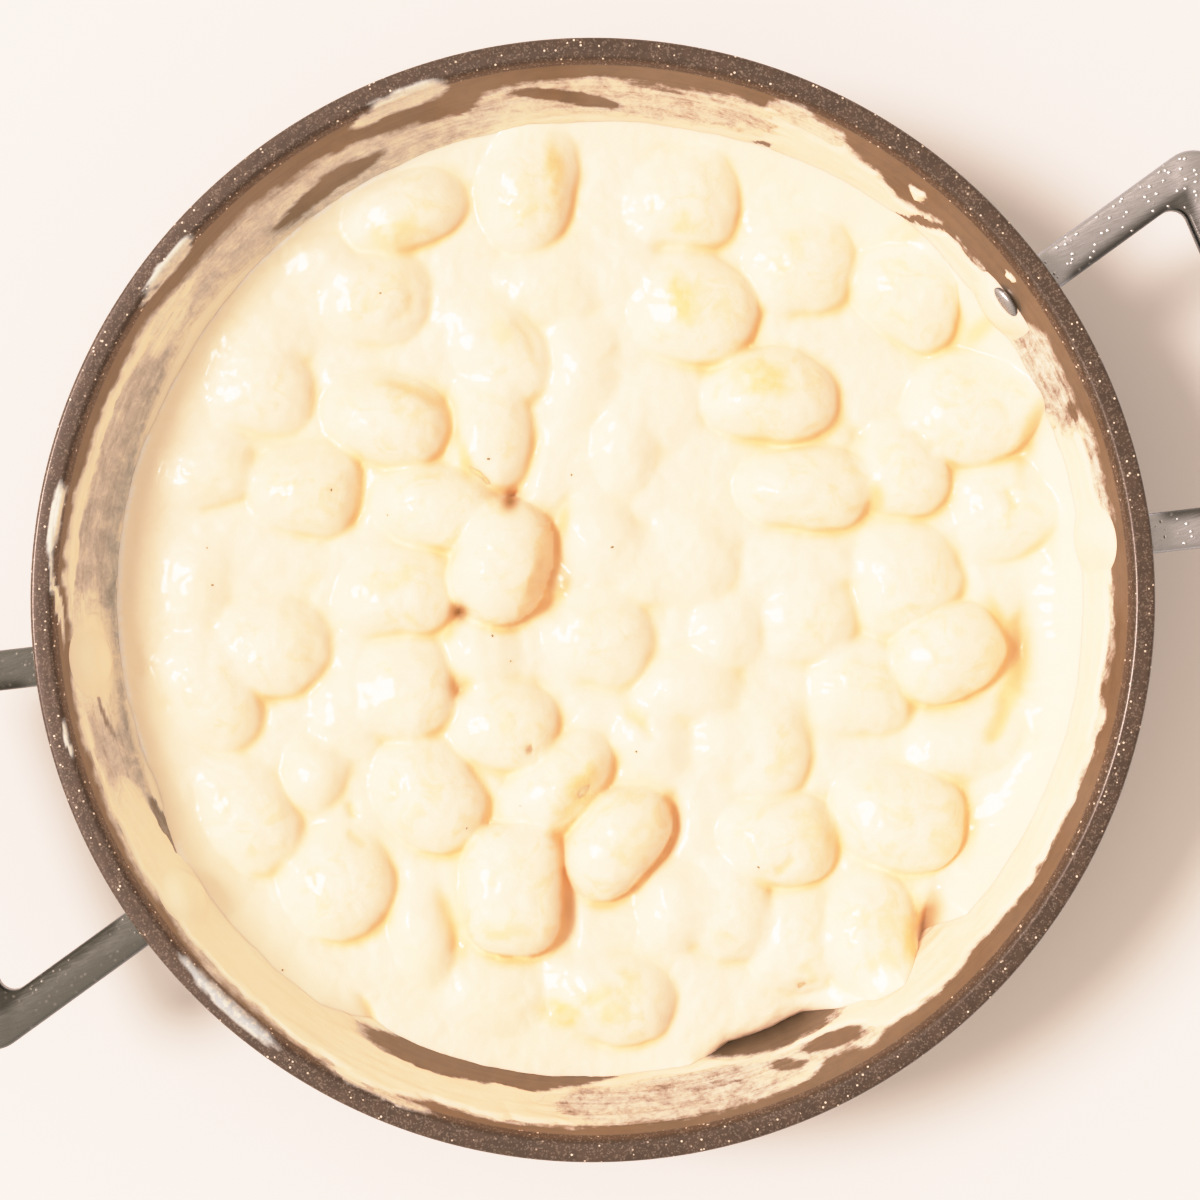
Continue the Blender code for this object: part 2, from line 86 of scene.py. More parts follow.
def ranged(tree, value, low, high, toLow=0.0, toHigh=1.0):
    made = addNode(tree, "MapRange", {
        "Value": value, "From Min": low, "From Max": high, "To Min": toLow, "To Max": toHigh,
    }, interpolation_type="SMOOTHSTEP")
    return made.outputs["Result"]


def mixed(tree, share, first, second):
    made = addNode(tree, "Mix", {0: share, 6: first, 7: second}, data_type="RGBA")
    return made.outputs[2]


def sums(tree, kind, first, second):
    made = addNode(tree, "Math", {0: first, 1: second}, operation=kind)
    return made.outputs[0]


def attributeOf(tree, name):
    return addNode(tree, "Attribute", attribute_name=name).outputs["Fac"]


def bumped(tree, shader, height, strength, distance):
    made = addNode(tree, "Bump", {"Height": height, "Strength": strength, "Distance": distance})
    tree.links.new(made.outputs["Normal"], shader.inputs["Normal"])
    return made


# real froth on the wall, and the painted highlight line at the sauce's left edge
def frothedAndHighlighted(tree, place, base, froth):
    bubbles = ranged(tree, noiseOf(tree, place, 0.0012, 2, 0.6), 0.36, 0.56, 0.5, 1.0)
    return mixed(tree, sums(tree, "MULTIPLY", attributeOf(tree, "frothAndHighlight"), bubbles), base, (*froth, 1))


# Camera, light and floor

shot = {
    "height": 0.82,
    "aside": 0.0018,
    "lens": 90,
    "lookAt": (0, 0, 0.04),
    "roomBright": (1.6, 1.16, 0.84),
    "roomDark": (0.6, 0.44, 0.35),
    "keyPlace": (-1.1, 0.14, 1.6),
    "keySpread": math.radians(16),
    "keyPower": 3.8,
    "keyColour": (1.0, 0.705, 0.61),
    "floorColour": (0.75, 0.8, 0.86),
    "floorRoughness": 0.6,
    "floorHalf": 2,
    # light above the first value is pressed together softly, as a camera does, up to the second
    "knee": 0.6,
    "brightest": 3.2,
    "curvePoints": 12,
}


def aimAt(thing, place, target):
    thing.location = place
    thing.rotation_euler = (Vector(target) - Vector(place)).to_track_quat("-Z", "Y").to_euler()


def inFood(x, y):
    turned = Matrix.Rotation(foodTurn, 2) @ Vector((x, y))
    return turned.x, turned.y


def softenHighlights(view):
    view.use_curve_mapping = True
    mapping = view.curve_mapping
    knee, brightest = shot["knee"], shot["brightest"]
    mapping.white_level = (brightest, brightest, brightest)
    line = mapping.curves[3]
    count = shot["curvePoints"]
    places = [knee / 2, knee] + [knee + (brightest - knee) * (i / count) ** 2 for i in range(1, count + 1)]
    for place in places:
        pressed = knee + (1 - knee) * (1 - math.exp((knee - place) / (1 - knee))) if place > knee else place
        if place < brightest:
            line.points.new(place / brightest, pressed)
        else:
            line.points[-1].location.y = pressed
    mapping.update()


def makeCamera(scene):
    camera = bpy.data.objects.new("camera", bpy.data.cameras.new("camera"))
    scene.collection.objects.link(camera)
    camera.data.lens = shot["lens"]
    camera.location = (*inFood(shot["aside"], 0), shot["height"])
    camera.rotation_euler = (0, 0, foodTurn)
    scene.camera = camera


def makeLight(scene):
    key = bpy.data.objects.new("key", bpy.data.lights.new("key", "SUN"))
    scene.collection.objects.link(key)
    key.data.angle = shot["keySpread"]
    key.data.energy = shot["keyPower"]
    key.data.color = shot["keyColour"]
    x, y, z = shot["keyPlace"]
    aimAt(key, (*inFood(x, y), z), shot["lookAt"])

    world = bpy.data.worlds.new("room")
    scene.world = world
    world.use_nodes = True
    tree = world.node_tree
    towards = Vector((*inFood(x, y), 0)).normalized()
    direction = addNode(tree, "TexCoord").outputs["Generated"]
    aside = addNode(tree, "VectorMath", {0: direction, 1: towards}, operation="DOT_PRODUCT").outputs["Value"]
    share = addNode(tree, "MapRange", {"Value": aside, "From Min": -1.0, "From Max": 1.0}).outputs["Result"]
    colour = mixed(tree, share, (*shot["roomDark"], 1), (*shot["roomBright"], 1))
    tree.links.new(colour, tree.nodes["Background"].inputs["Color"])


def makeFloor(scene):
    shape = bmesh.new()
    bmesh.ops.create_grid(shape, x_segments=1, y_segments=1, size=shot["floorHalf"])
    mesh = bpy.data.meshes.new("floor")
    shape.to_mesh(mesh)
    shape.free()
    floor = bpy.data.objects.new("floor", mesh)
    scene.collection.objects.link(floor)
    table = bpy.data.materials.new("paleTable")
    table.use_nodes = True
    shader = table.node_tree.nodes["Principled BSDF"]
    shader.inputs["Base Color"].default_value = (*shot["floorColour"], 1)
    shader.inputs["Roughness"].default_value = shot["floorRoughness"]
    mesh.materials.append(table)


def makeStudio():
    scene = bpy.context.scene
    scene.view_settings.view_transform = "Standard"
    softenHighlights(scene.view_settings)
    makeCamera(scene)
    makeLight(scene)
    makeFloor(scene)


makeStudio()
print("studio ready")


# Small tools for the shapes

def newPiece(name, shape, material, replaces=()):
    mesh = bpy.data.meshes.new(name)
    shape.to_mesh(mesh)
    shape.free()
    piece = bpy.data.objects.new(name, mesh)
    bpy.context.scene.collection.objects.link(piece)
    mesh.materials.append(material)
    mesh.shade_smooth()
    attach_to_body(piece, "root")
    if replaces:
        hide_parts(*replaces)
    return piece


def turnedShape(outline, steps, closed=False):
    # An eighth is spun and then repeated, because one long spin is slow
    share = math.tau / 8
    part = bmesh.new()
    line = [part.verts.new((r * mm, 0, z * mm)) for r, z in outline]
    ends = line[1:] + line[:1] if closed else line[1:]
    edges = [part.edges.new(pair) for pair in zip(line, ends)]
    bmesh.ops.spin(part, geom=line + edges, cent=(0, 0, 0), axis=(0, 0, 1), angle=share, steps=steps // 8)
    mesh = bpy.data.meshes.new("eighth")
    part.to_mesh(mesh)
    part.free()
    whole = bmesh.new()
    for _ in range(8):
        whole.from_mesh(mesh)
        mesh.transform(Matrix.Rotation(share, 4, "Z"))
    bpy.data.meshes.remove(mesh)
    bmesh.ops.remove_doubles(whole, verts=whole.verts, dist=0.01 * mm)
    bmesh.ops.recalc_face_normals(whole, faces=whole.faces)
    return whole


def setAttribute(mesh, name, values):
    padded = np.zeros(len(mesh.vertices), np.float32)
    padded[:len(values)] = values
    mesh.attributes.new(name, "FLOAT", "POINT").data.foreach_set("value", padded)


def noiseValues(x, y, z, octaves):
    places = zip(x.tolist(), y.tolist(), z.tolist())
    if octaves == 1:
        return np.array([noise.noise(place) for place in places])
    return np.array([noise.fractal(place, 0.8, 2.1, octaves) for place in places])


def noiseAt(x, y, size, seed, octaves=1):
    return noiseValues(x / size, y / size, np.full(len(x), seed), octaves)


def eased(value, start, end):
    share = np.clip((value - start) / (end - start), 0, 1)
    return share * share * (3 - 2 * share)


# The sauce that is left on the pan's wall, by the angle round the food's x, in degrees, and the height, in mm

film = {
    # upper edge of the sauce on the wall, by angle
    "top": (
        (0, 60.2), (7, 60.5), (9, 62.5), (14, 63.5), (20, 63), (22, 60), (24, 62), (30, 62), (33, 58),
        (35, 52), (39, 52), (40, 57), (46, 57.5), (51, 54), (53, 53), (56, 58), (60, 59.5), (62, 65),
        (66, 66.5), (70, 66), (71, 60), (74, 61.5), (80, 61), (84, 60), (90, 61.5), (96, 61), (102, 60.5),
        (104, 56), (107, 54), (112, 55), (118, 58), (124, 60), (130, 60.5), (140, 61), (146, 62),
        (150, 62.5), (160, 63), (170, 64), (176, 65.5), (180, 63), (188, 62), (195, 64), (205, 64),
        (215, 65), (225, 66), (235, 65.5), (243, 67.5), (247, 66), (252, 63), (262, 64), (268, 63.5),
        (275, 63), (283, 62.5), (290, 62.5), (294, 62.5), (297, 58.5), (300, 58), (302, 63), (304, 60),
        (310, 60.5), (318, 59.5), (325, 60.2), (335, 60.2), (341, 60.5), (343, 62), (345, 60.5),
        (347, 63), (349, 60), (355, 60), (360, 60.2),
    ),
    # patches: middle angle and height, half sizes in degrees and mm, slant in mm for each degree, cover there
    "patches": (
        (14, 61.5, 6, 3.4, 0.0, 0.5),
        (26, 55.5, 7.2, 13, 0.0, 0.5),
        (66, 63, 5, 5, 0.2, 0.62),
        (86, 56, 18, 12, 0.1, 0.6),
        (122, 52, 26, 14, 0.1, 0.55),
        (178, 51, 36, 11.5, 0.0, 0.5),
        (165, 61.5, 22, 2.6, 0.05, 0.85),
        (186.8, 53, 8.0, 11, 0.0, 0.7),
        (186.8, 53, 4.6, 7.5, 0.0, 1.0),
        (204, 54, 3, 9, 0.0, 0.65),
        (146, 55, 5, 6, -0.3, 0.7),
        (222, 55, 19, 14, 0.0, 1.0),
        (280, 54, 16, 11, 0.0, 0.52),
        (216, 64.4, 22, 1.9, 0.03, 0.5),
        (135, 60, 12, 2.0, 0.12, 0.4),
        (296, 55, 8, 6, 0.35, 0.6),
        (350, 60, 6, 1.6, 0.0, 0.6),
    ),
    # bare places, in the same order, with how bare they are
    "holes": (
        (49, 51, 4.6, 2.2, -1.9, 1.0),
        (44.5, 56.6, 2.5, 0.7, 0.0, 0.9),
        (36.5, 57.4, 3, 3.6, 0.0, 1.0),
        (21.4, 58.3, 1.2, 2.0, 0.0, 0.8),
        (25, 45, 1.5, 1.2, 0.0, 0.7),
        (70, 46, 1.2, 1.4, -1.2, 0.9),
        (93, 53.3, 6.5, 2.8, 0.75, 1.0),
        (105, 54.8, 1.6, 1.5, -0.3, 1.0),
        (123, 47.5, 7.5, 4.2, -0.25, 1.0),
        (83, 58.5, 2.5, 1.4, 0.0, 0.7),
        (193, 53, 3.5, 1.6, -0.6, 0.6),
        (208, 44.5, 4.5, 2.2, 0.0, 0.7),
        (253, 44.6, 12.0, 6.0, -0.08, 1.0),
        (265, 42.5, 8, 5.0, -0.5, 1.0),
        (293.5, 36.5, 9.5, 8.2, 0.12, 1.0),
        (299, 52, 3.6, 4.0, 0.5, 1.0),
        (292.5, 52.5, 2.0, 3.0, 0.9, 0.9),
        (284, 51.5, 3.0, 1.3, 0.2, 0.5),
    ),
    # drops and splashes above that edge, in the same order
    "splashes": (
        (110.3, 67.4, 4.4, 4.8, 0.0, 0.7),
        (113.5, 65.4, 3.4, 2.4, -0.3, 0.7),
        (141.5, 69.6, 3.6, 3.6, 0.0, 0.74),
        (142.5, 67.6, 4.6, 1.0, 0.05, 0.7),
        (171.0, 70.6, 4.0, 2.8, 0.0, 0.78),
        (179, 67.5, 5.5, 1.4, -0.45, 0.7),
        (195, 70.5, 2.0, 1.6, 0.0, 0.76),
        (228, 71.8, 6.5, 3.4, 0.0, 0.76),
        (51, 60.4, 1.1, 2.3, 0.0, 1.0),
        (38, 64.8, 0.8, 1.5, 0.0, 1.0),
        (246, 67.5, 6, 2.2, 0.0, 0.7),
    ),
    # white froth on it: middle angle and height, half sizes in degrees and mm, strength
    "froth": (
        (227.5, 71.0, 8.5, 4.5, 1.0),
        (233, 69, 4, 2.0, 1.0),
        (110.5, 67.5, 7.0, 6.0, 0.36),
        (141.5, 69.0, 7.0, 5.5, 0.4),
        (171, 70.5, 8.0, 5.0, 0.4),
        (195, 70.5, 4.0, 3.0, 0.4),
    ),
    # how thick the smear is where it meets the sauce, by angle
    "smear": (
        (0, 1), (60, 1), (66, 0.2), (100, 0), (208, 0), (214, 1), (238, 1), (241, 0), (302, 0),
        (306, 1), (360, 1),
    ),
    # rivet heads under it: angle, and up to what height it covers them
    "rivets": ((6.8, 90), (35.8, 58.4), (186.8, 90), (215.8, 90)),
    "overRivet": 3.3,
    "rivetReach": 8.7,
    "rivetLean": 1.0,
    "underCover": 1.2,
    "ragged": 1.5,
    "fringe": 0.9,
    "thick": 1.1,
    "thickest": 0.35,
    "backing": 1.3,
    "from": 38.5,
    "heightSteps": 58,
    "roundSteps": 1000,
    # the radius that turns an angle into a length in the patterns
    "patternRadius": 128,
}


def turnFrom(around, angle):
    return (around - angle + 180) % 360 - 180


def insidePatch(around, height, patch, spread):
    angle, middle, halfAngle, halfHeight, slant, _ = patch
    aside = turnFrom(around, angle)
    away = ((aside / halfAngle) ** 2 + ((height - middle - slant * aside) / halfHeight) ** 2) ** 0.5
    return eased(-away, -1 - spread, -1 + spread)


def wallNoise(around, height, length, tall, seed, octaves=1):
    x = np.cos(np.radians(around)) * film["patternRadius"] / length
    y = np.sin(np.radians(around)) * film["patternRadius"] / length
    return noiseValues(x, y, height / tall + seed, octaves)


def filmCover(around, height):
    # 0 is bare metal, about a half is a thin film that the metal shows through, and 1 is opaque
    coarse = wallNoise(around, height, 13, 6, 3.0)
    fine = wallNoise(around, height, 5, 2.2, 7.0, 3)
    warped = around + coarse * 1.2 + fine * 0.6
    level = height + coarse * film["ragged"] + fine * film["ragged"] * 0.7
    top = np.interp(around % 360, [row[0] for row in film["top"]], [row[1] for row in film["top"]])
    cover = np.ones_like(height)
    for patch in film["patches"]:
        inside = insidePatch(warped, level, patch, 0.25)
        cover += (patch[5] - cover) * inside
    fringe = wallNoise(around, height, 4, 14, 17.0, 2)
    cover *= eased(top - level + film["fringe"] * fringe, -1.8, 1.6)
    for patch in film["holes"]:
        cover *= 1 - patch[5] * insidePatch(warped, level, patch, 0.2)
    for patch in film["splashes"]:
        cover = np.maximum(cover, patch[5] * insidePatch(warped, level, patch, 0.25))
    return cover


def frothOn(around, height):
    froth = np.zeros_like(height)
    for angle, middle, halfAngle, halfHeight, strength in film["froth"]:
        away = np.hypot(turnFrom(around, angle) / halfAngle, (height - middle) / halfHeight)
        froth = np.maximum(froth, strength * eased(-away, -1.1, -0.7))
    return froth


# Pan: one turned shell in a speckled coating

pan = {
    "wallTopRadius": 134.5,
    "wallTop": 67.5,
    "flare": 0.4,
    "wall": 3.5,
    "floor": 5.0,
    "floorRing": 60,
    "innerFillet": 14.0,
    "outerFillet": 19.0,
    "rimRadius": 140.8,
    "height": 70.0,
    "rimSide": 4.6,
    "rimRounding": 1.0,
    "underRounding": 0.8,
    "stepWidth": 1.7,
    "stepSlope": 0.5,
    "stepHeight": 1.4,
    "stepFrom": 0.35,
    "overRim": 2.2,
    "steps": 720,
    "innerSteps": 8,
    "outerSteps": 9,
    "sideSteps": 6,
    "rimSteps": 5,
    "lowSteps": 6,
    "wallSteps": 46,
    "filmFrom": 36.0,
    "coating": (0.048, 0.033, 0.0235),
    # painted shade: the step under the rim is darker, as the shadow beneath the ledge
    "step": (0.035, 0.021, 0.012),
    "inside": (0.15, 0.125, 0.086),
    "speck": (0.85, 0.78, 0.68),
    "specksPerMetre": 1100.0,
    "dustPerMetre": 2600.0,
    "film": (0.92, 0.75, 0.59),
    "thinFilm": (0.72, 0.74, 0.75),
    # the film on the left wall, on the side away from the light, is painted as a shaded copy that is greyer
    # and less patchy, by how far the angle is from its middle
    "shadedSideMiddle": 172,
    "shadedSideRange": (-0.1, 0.75),
    "shadedFilm": (0.93, 0.91, 0.77),
    "shadedThinFilm": (0.62, 0.72, 0.77),
    "froth": (0.4, 0.5, 0.58),
}
wallAngle = math.atan(pan["flare"])


def innerRadius(height):
    return pan["wallTopRadius"] + pan["flare"] * (height - pan["wallTop"])


def shadedSideShare(around):
    return eased(np.cos(np.radians(around - pan["shadedSideMiddle"])), *pan["shadedSideRange"])


def heightAlong(radius, height):
    # the step and the rim's top count on from the wall's top
    over = np.maximum(radius - pan["wallTopRadius"] - 0.1, 0) * pan["overRim"]
    onStep = height > pan["wallTop"] - pan["stepFrom"]
    return np.where(onStep, np.maximum(height, pan["wallTop"] + over), height)


def filletPoints(radius, base, aside, count):
    wall = innerRadius(base + radius) + aside
    middle = wall - radius / math.cos(wallAngle)
    points = []
    for i in range(count + 1):
        angle = -math.pi / 2 + (math.pi / 2 - wallAngle) * i / count
        points.append((middle + radius * math.cos(angle), base + radius + radius * math.sin(angle)))
    return points


def panOutline():
    aside = pan["wall"] / math.cos(wallAngle)
    under = pan["height"] - pan["rimSide"]
    outline = [(0, pan["floor"]), (pan["floorRing"], pan["floor"])]
    outline += filletPoints(pan["innerFillet"], pan["floor"], 0, pan["innerSteps"])
    low = outline[-1][1]
    lowPart = np.linspace(low, pan["filmFrom"], pan["lowSteps"])
    highPart = np.linspace(pan["filmFrom"], pan["wallTop"], pan["wallSteps"])
    for height in [*lowPart[1:], *highPart[1:-1]]:
        outline.append((innerRadius(height), height))
    rim, radius = pan["rimRounding"], pan["rimRadius"]
    stepRadius = pan["wallTopRadius"] + pan["stepWidth"]
    # the step, with its edges rounded a little, and the flat of the rim
    outline += [
        (pan["wallTopRadius"] - 0.12, pan["wallTop"] - 0.3),
        (pan["wallTopRadius"], pan["wallTop"]),
        (pan["wallTopRadius"] + 0.15, pan["wallTop"] + 0.2),
        (pan["wallTopRadius"] + pan["stepSlope"], pan["wallTop"] + pan["stepHeight"]),
        (stepRadius - 0.5, pan["height"] - 0.35),
        (stepRadius - 0.1, pan["height"] - 0.05),
        (stepRadius + 0.3, pan["height"]),
        (stepRadius + 0.9, pan["height"]),
        (stepRadius + 1.5, pan["height"]),
        (radius - 2.2 * rim, pan["height"]),
        (radius - rim, pan["height"]),
    ]
    for i in range(1, pan["rimSteps"] + 1):
        angle = math.pi / 2 * i / pan["rimSteps"]
        outline.append((radius - rim + rim * math.sin(angle), pan["height"] - rim + rim * math.cos(angle)))
    soft = pan["underRounding"]
    outline += [
        (radius, under + rim),
        (radius - 0.25 * rim, under + 0.3 * rim),
        (radius - 0.9 * rim, under),
        (innerRadius(under) + aside + soft / 2, under - soft / 4),
        (innerRadius(under) + aside, under - soft),
    ]
    outside = filletPoints(pan["outerFillet"], 0, aside, pan["outerSteps"])[::-1]
    high, low = under - soft, outside[0][1]
    for i in range(1, pan["sideSteps"]):
        height = high + (low - high) * i / pan["sideSteps"]
        outline.append((innerRadius(height) + aside, height))
    return outline + outside + [(pan["floorRing"], 0), (0, 0)]


def makePan():
    shape = turnedShape(panOutline(), pan["steps"])
    piece = newPiece("panBody", shape, panCoating(), ["pan_body"])
    piece.data.set_sharp_from_angle(angle=math.radians(42))
    places = np.empty(len(piece.data.vertices) * 3)
    piece.data.vertices.foreach_get("co", places)
    x, y, z = places.reshape(-1, 3).T / mm
    away = np.hypot(x, y)
    inside = away < innerRadius(z) + 0.5
    onTop = (z > pan["wallTop"] - pan["stepFrom"]) & (away < pan["rimRadius"] - 0.5)
    onWall = (z > pan["filmFrom"]) & inside & ~onTop
    cover = np.zeros(len(z))
    around = (np.degrees(np.arctan2(y, x)) - math.degrees(foodTurn)) % 360
    seen = onWall | onTop
    along = heightAlong(away, z)
    cover[seen] = filmCover(around[seen], along[seen])
    setAttribute(piece.data, "film", cover)
    setAttribute(piece.data, "frothAndHighlight", frothOn(around, along))
    setAttribute(piece.data, "left", shadedSideShare(around))
    setAttribute(piece.data, "inner", onWall | (z < pan["filmFrom"]) & (z > pan["floor"] - 1) & inside)
    # the step under the rim, where the painted shade goes
    onStep = (z > pan["wallTop"] - 0.1) & (z < pan["height"] - 0.2)
    setAttribute(piece.data, "step", onStep & (away < pan["wallTopRadius"] + pan["stepWidth"]))


def panCoating():
    material, tree, shader = newMaterial("panCoating", Coat_Weight=0.35, Coat_Roughness=0.14)
    place = objectPlace(tree)
    apart = addNode(tree, "SeparateXYZ", {"Vector": place}).outputs
    out = addNode(tree, "VectorMath", {0: place, 1: (1, 1, 0)}, operation="MULTIPLY").outputs["Vector"]
    radius = addNode(tree, "VectorMath", {0: out}, operation="LENGTH").outputs["Value"]
    slight = sums(tree, "MULTIPLY", apart["X"], 0.02)
    rings = addNode(tree, "CombineXYZ", {"X": radius, "Y": apart["Z"], "Z": slight})
    turned = noiseOf(tree, rings.outputs["Vector"], 0.0011, 4, 0.6)
    grain = noiseOf(tree, place, 0.004, 5, 0.6)
    dark = tuple(c * 0.66 for c in pan["coating"])
    outer = mixed(tree, ranged(tree, grain, 0.35, 0.65), (*dark, 1), (*pan["coating"], 1))
    streaky = sums(tree, "ADD", sums(tree, "MULTIPLY", turned, 0.6), sums(tree, "MULTIPLY", grain, 0.4))
    low = tuple(c * 0.74 for c in pan["inside"])
    inner = mixed(tree, ranged(tree, streaky, 0.34, 0.64), (*low, 1), (*pan["inside"], 1))
    base = mixed(tree, attributeOf(tree, "inner"), outer, inner)
    # painted shade on the step
    base = mixed(tree, attributeOf(tree, "step"), base, (*pan["step"], 1))

    # pale specks, each with its own brightness, and finer dust between them
    cells = addNode(tree, "TexVoronoi", {"Vector": place, "Scale": pan["specksPerMetre"], "Randomness": 1.0})
    rare = addNode(tree, "TexWhiteNoise", {"Vector": cells.outputs["Position"]}, noise_dimensions="3D")
    outside = sums(tree, "SUBTRACT", 1.0, attributeOf(tree, "inner"))
    dot = sums(tree, "MULTIPLY", ranged(tree, cells.outputs["Distance"], 0.36, 0.22),
               ranged(tree, rare.outputs["Value"], 0.88, 0.97))
    dot = sums(tree, "MULTIPLY", dot, outside)
    base = mixed(tree, dot, base, (*pan["speck"], 1))
    dust = addNode(tree, "TexVoronoi", {"Vector": place, "Scale": pan["dustPerMetre"], "Randomness": 1.0})
    pale = addNode(tree, "TexWhiteNoise", {"Vector": dust.outputs["Position"]}, noise_dimensions="3D")
    spots = sums(tree, "MULTIPLY", ranged(tree, pale.outputs["Value"], 0.7, 0.95), outside)
    base = mixed(tree, sums(tree, "MULTIPLY", spots, 0.09), base, (*pan["speck"], 1))

    # the film of sauce, patchy and streaked, lets the metal through where it is thin
    cover = attributeOf(tree, "film")
    blotch = noiseOf(tree, place, 0.0055, 6, 0.7, 0.6)
    grains = noiseOf(tree, place, 0.0011, 3, 0.7)
    # painted shade: on the shaded left side the film is less patchy and takes its shaded colours
    left = attributeOf(tree, "left")
    contrast = ranged(tree, left, 0.0, 1.0, 1.0, 0.45)
    patchy = sums(tree, "ADD", sums(tree, "MULTIPLY", blotch, 1.5), sums(tree, "MULTIPLY", grains, 0.6))
    patchy = sums(tree, "ADD", patchy, sums(tree, "MULTIPLY", turned, 0.7))
    patchy = sums(tree, "MULTIPLY", sums(tree, "SUBTRACT", patchy, 1.4), contrast)
    thin = ranged(tree, sums(tree, "ADD", cover, patchy), 0.0, 0.85, 0.0, 0.95)
    thin = sums(tree, "MULTIPLY", thin, ranged(tree, cover, 0.0, 0.2))
    thickness = ranged(tree, sums(tree, "ADD", cover, sums(tree, "MULTIPLY", blotch, 0.6)), 0.72, 1.05)
    thinColour = mixed(tree, left, (*pan["thinFilm"], 1), (*pan["shadedThinFilm"], 1))
    thickColour = mixed(tree, left, (*pan["film"], 1), (*pan["shadedFilm"], 1))
    filmed = mixed(tree, thickness, thinColour, thickColour)
    base = mixed(tree, thin, base, frothedAndHighlighted(tree, place, filmed, pan["froth"]))
    tree.links.new(base, shader.inputs["Base Color"])
    bare = sums(tree, "SUBTRACT", 1.0, thin)
    shine = sums(tree, "MULTIPLY", sums(tree, "MULTIPLY", attributeOf(tree, "inner"), bare), 0.55)
    tree.links.new(shine, shader.inputs["Metallic"])
    tree.links.new(ranged(tree, turned, 0.3, 0.7, 0.3, 0.46), shader.inputs["Roughness"])
    fine = noiseOf(tree, place, 0.0006, 3, 0.6)
    relief = sums(tree, "ADD", fine, sums(tree, "MULTIPLY", dot, 0.8))
    relief = sums(tree, "ADD", relief, sums(tree, "MULTIPLY", turned, 0.4))
    bumped(tree, shader, relief, 0.25, 0.00012)
    return material


makePan()
print("pan turned")


# Handles: a flat steel loop with rounded edges on two pads, and its rivets

handle = {
    "spread": math.radians(14.5),
    "width": 10.2,
    "inner": 175.7,
    "outer": 189.0,
    "bow": 1.6,
    "innerCorner": 4.0,
    "outerCorner": 9.0,
    "thickness": 7.0,
    "edge": 1.3,
    "tilt": math.radians(6),
    "padRadius": 139.6,
    "intoPad": 5,
    "gap": 0.5,
    "gapFrom": 20,
    "padSize": (16, 22, 17),
    "padRounding": 2.5,
    "rivetHeight": 53.0,
    "rivetHead": 6.5,
    "rivetDome": 2.3,
    "rivetSeat": 0.4,
    "rivetSteps": 8,
    "shank": 3,
    "shankDepth": 8,
    "cornerSteps": 14,
    "steel": (0.36, 0.405, 0.465),
    "darkReflectionSteel": (0.165, 0.19, 0.195),
    "shadedSteel": (0.05, 0.055, 0.05),
    "shadeFrom": 140,
    "shadeFade": 5,
    "dropSize": 0.0017,
    "dropHighlightColour": (0.85, 0.9, 0.95),
}


def satinSteel():
    material, tree, shader = newMaterial("satinSteel", Metallic=1.0)
    place = objectPlace(tree)
    apart = addNode(tree, "SeparateXYZ", {"Vector": place}).outputs
    broad = noiseOf(tree, place, 0.016, 4, 0.55)
    streaks = noiseOf(tree, objectPlace(tree, (3, 30, 8), -0.25), 0.01, 5, 0.6)
    # painted reflection: the left handle is darker than the right one, with random patches, and painted shade
    # darkens the loop's inner side on both
    side = sums(tree, "ADD", ranged(tree, apart["X"], -0.12, 0.12, -0.36, 0.12), broad)
    share = ranged(tree, sums(tree, "ADD", side, sums(tree, "MULTIPLY", streaks, 0.15)), 0.3, 0.62)
    base = mixed(tree, share, (*handle["darkReflectionSteel"], 1), (*handle["steel"], 1))
    alongX = sums(tree, "ABSOLUTE", apart["X"], 0.0)
    outward = sums(tree, "MULTIPLY", sums(tree, "ABSOLUTE", apart["Y"], 0.0), math.cos(handle["spread"]))
    across = sums(tree, "SUBTRACT", outward, sums(tree, "MULTIPLY", alongX, math.sin(handle["spread"])))
    half, inner = handle["width"] / 2 * mm, handle["inner"] * mm
    first, fade = handle["shadeFrom"] * mm, handle["shadeFade"] * mm
    uneven = sums(tree, "ADD", across, sums(tree, "MULTIPLY", streaks, 0.001))
    shade = ranged(tree, uneven, -0.15 * half, -0.75 * half)
    shade = sums(tree, "MULTIPLY", shade, ranged(tree, alongX, inner + 0.8 * half, inner + 0.2 * half))
    shade = sums(tree, "MULTIPLY", shade, ranged(tree, alongX, first, first + fade))
    base = mixed(tree, sums(tree, "MULTIPLY", shade, 0.85), base, (*handle["shadedSteel"], 1))

    # drops of water, most of them on the right handle, each bumped and painted as a pale spot that stands in
    # for its highlight
    drops = addNode(tree, "TexVoronoi", {"Vector": place, "Scale": 1 / handle["dropSize"], "Randomness": 1.0})
    chance = addNode(tree, "TexWhiteNoise", {"Vector": drops.outputs["Position"]}, noise_dimensions="3D")
    wetter = ranged(tree, apart["X"], 0.1, 0.14, 0.25, 1.0)
    wet = sums(tree, "MULTIPLY", ranged(tree, chance.outputs["Value"], 0.25, 0.75), wetter)
    dome = sums(tree, "MULTIPLY", ranged(tree, drops.outputs["Distance"], 0.34, 0.05), wet)
    base = mixed(tree, sums(tree, "MULTIPLY", dome, 0.5), base, (*handle["dropHighlightColour"], 1))
    tree.links.new(base, shader.inputs["Base Color"])
    tree.links.new(ranged(tree, streaks, 0.25, 0.75, 0.2, 0.36), shader.inputs["Roughness"])
    relief = sums(tree, "ADD", sums(tree, "MULTIPLY", streaks, 0.25), sums(tree, "MULTIPLY", dome, 1.4))
    bumped(tree, shader, relief, 0.5, 0.0003)
    return material


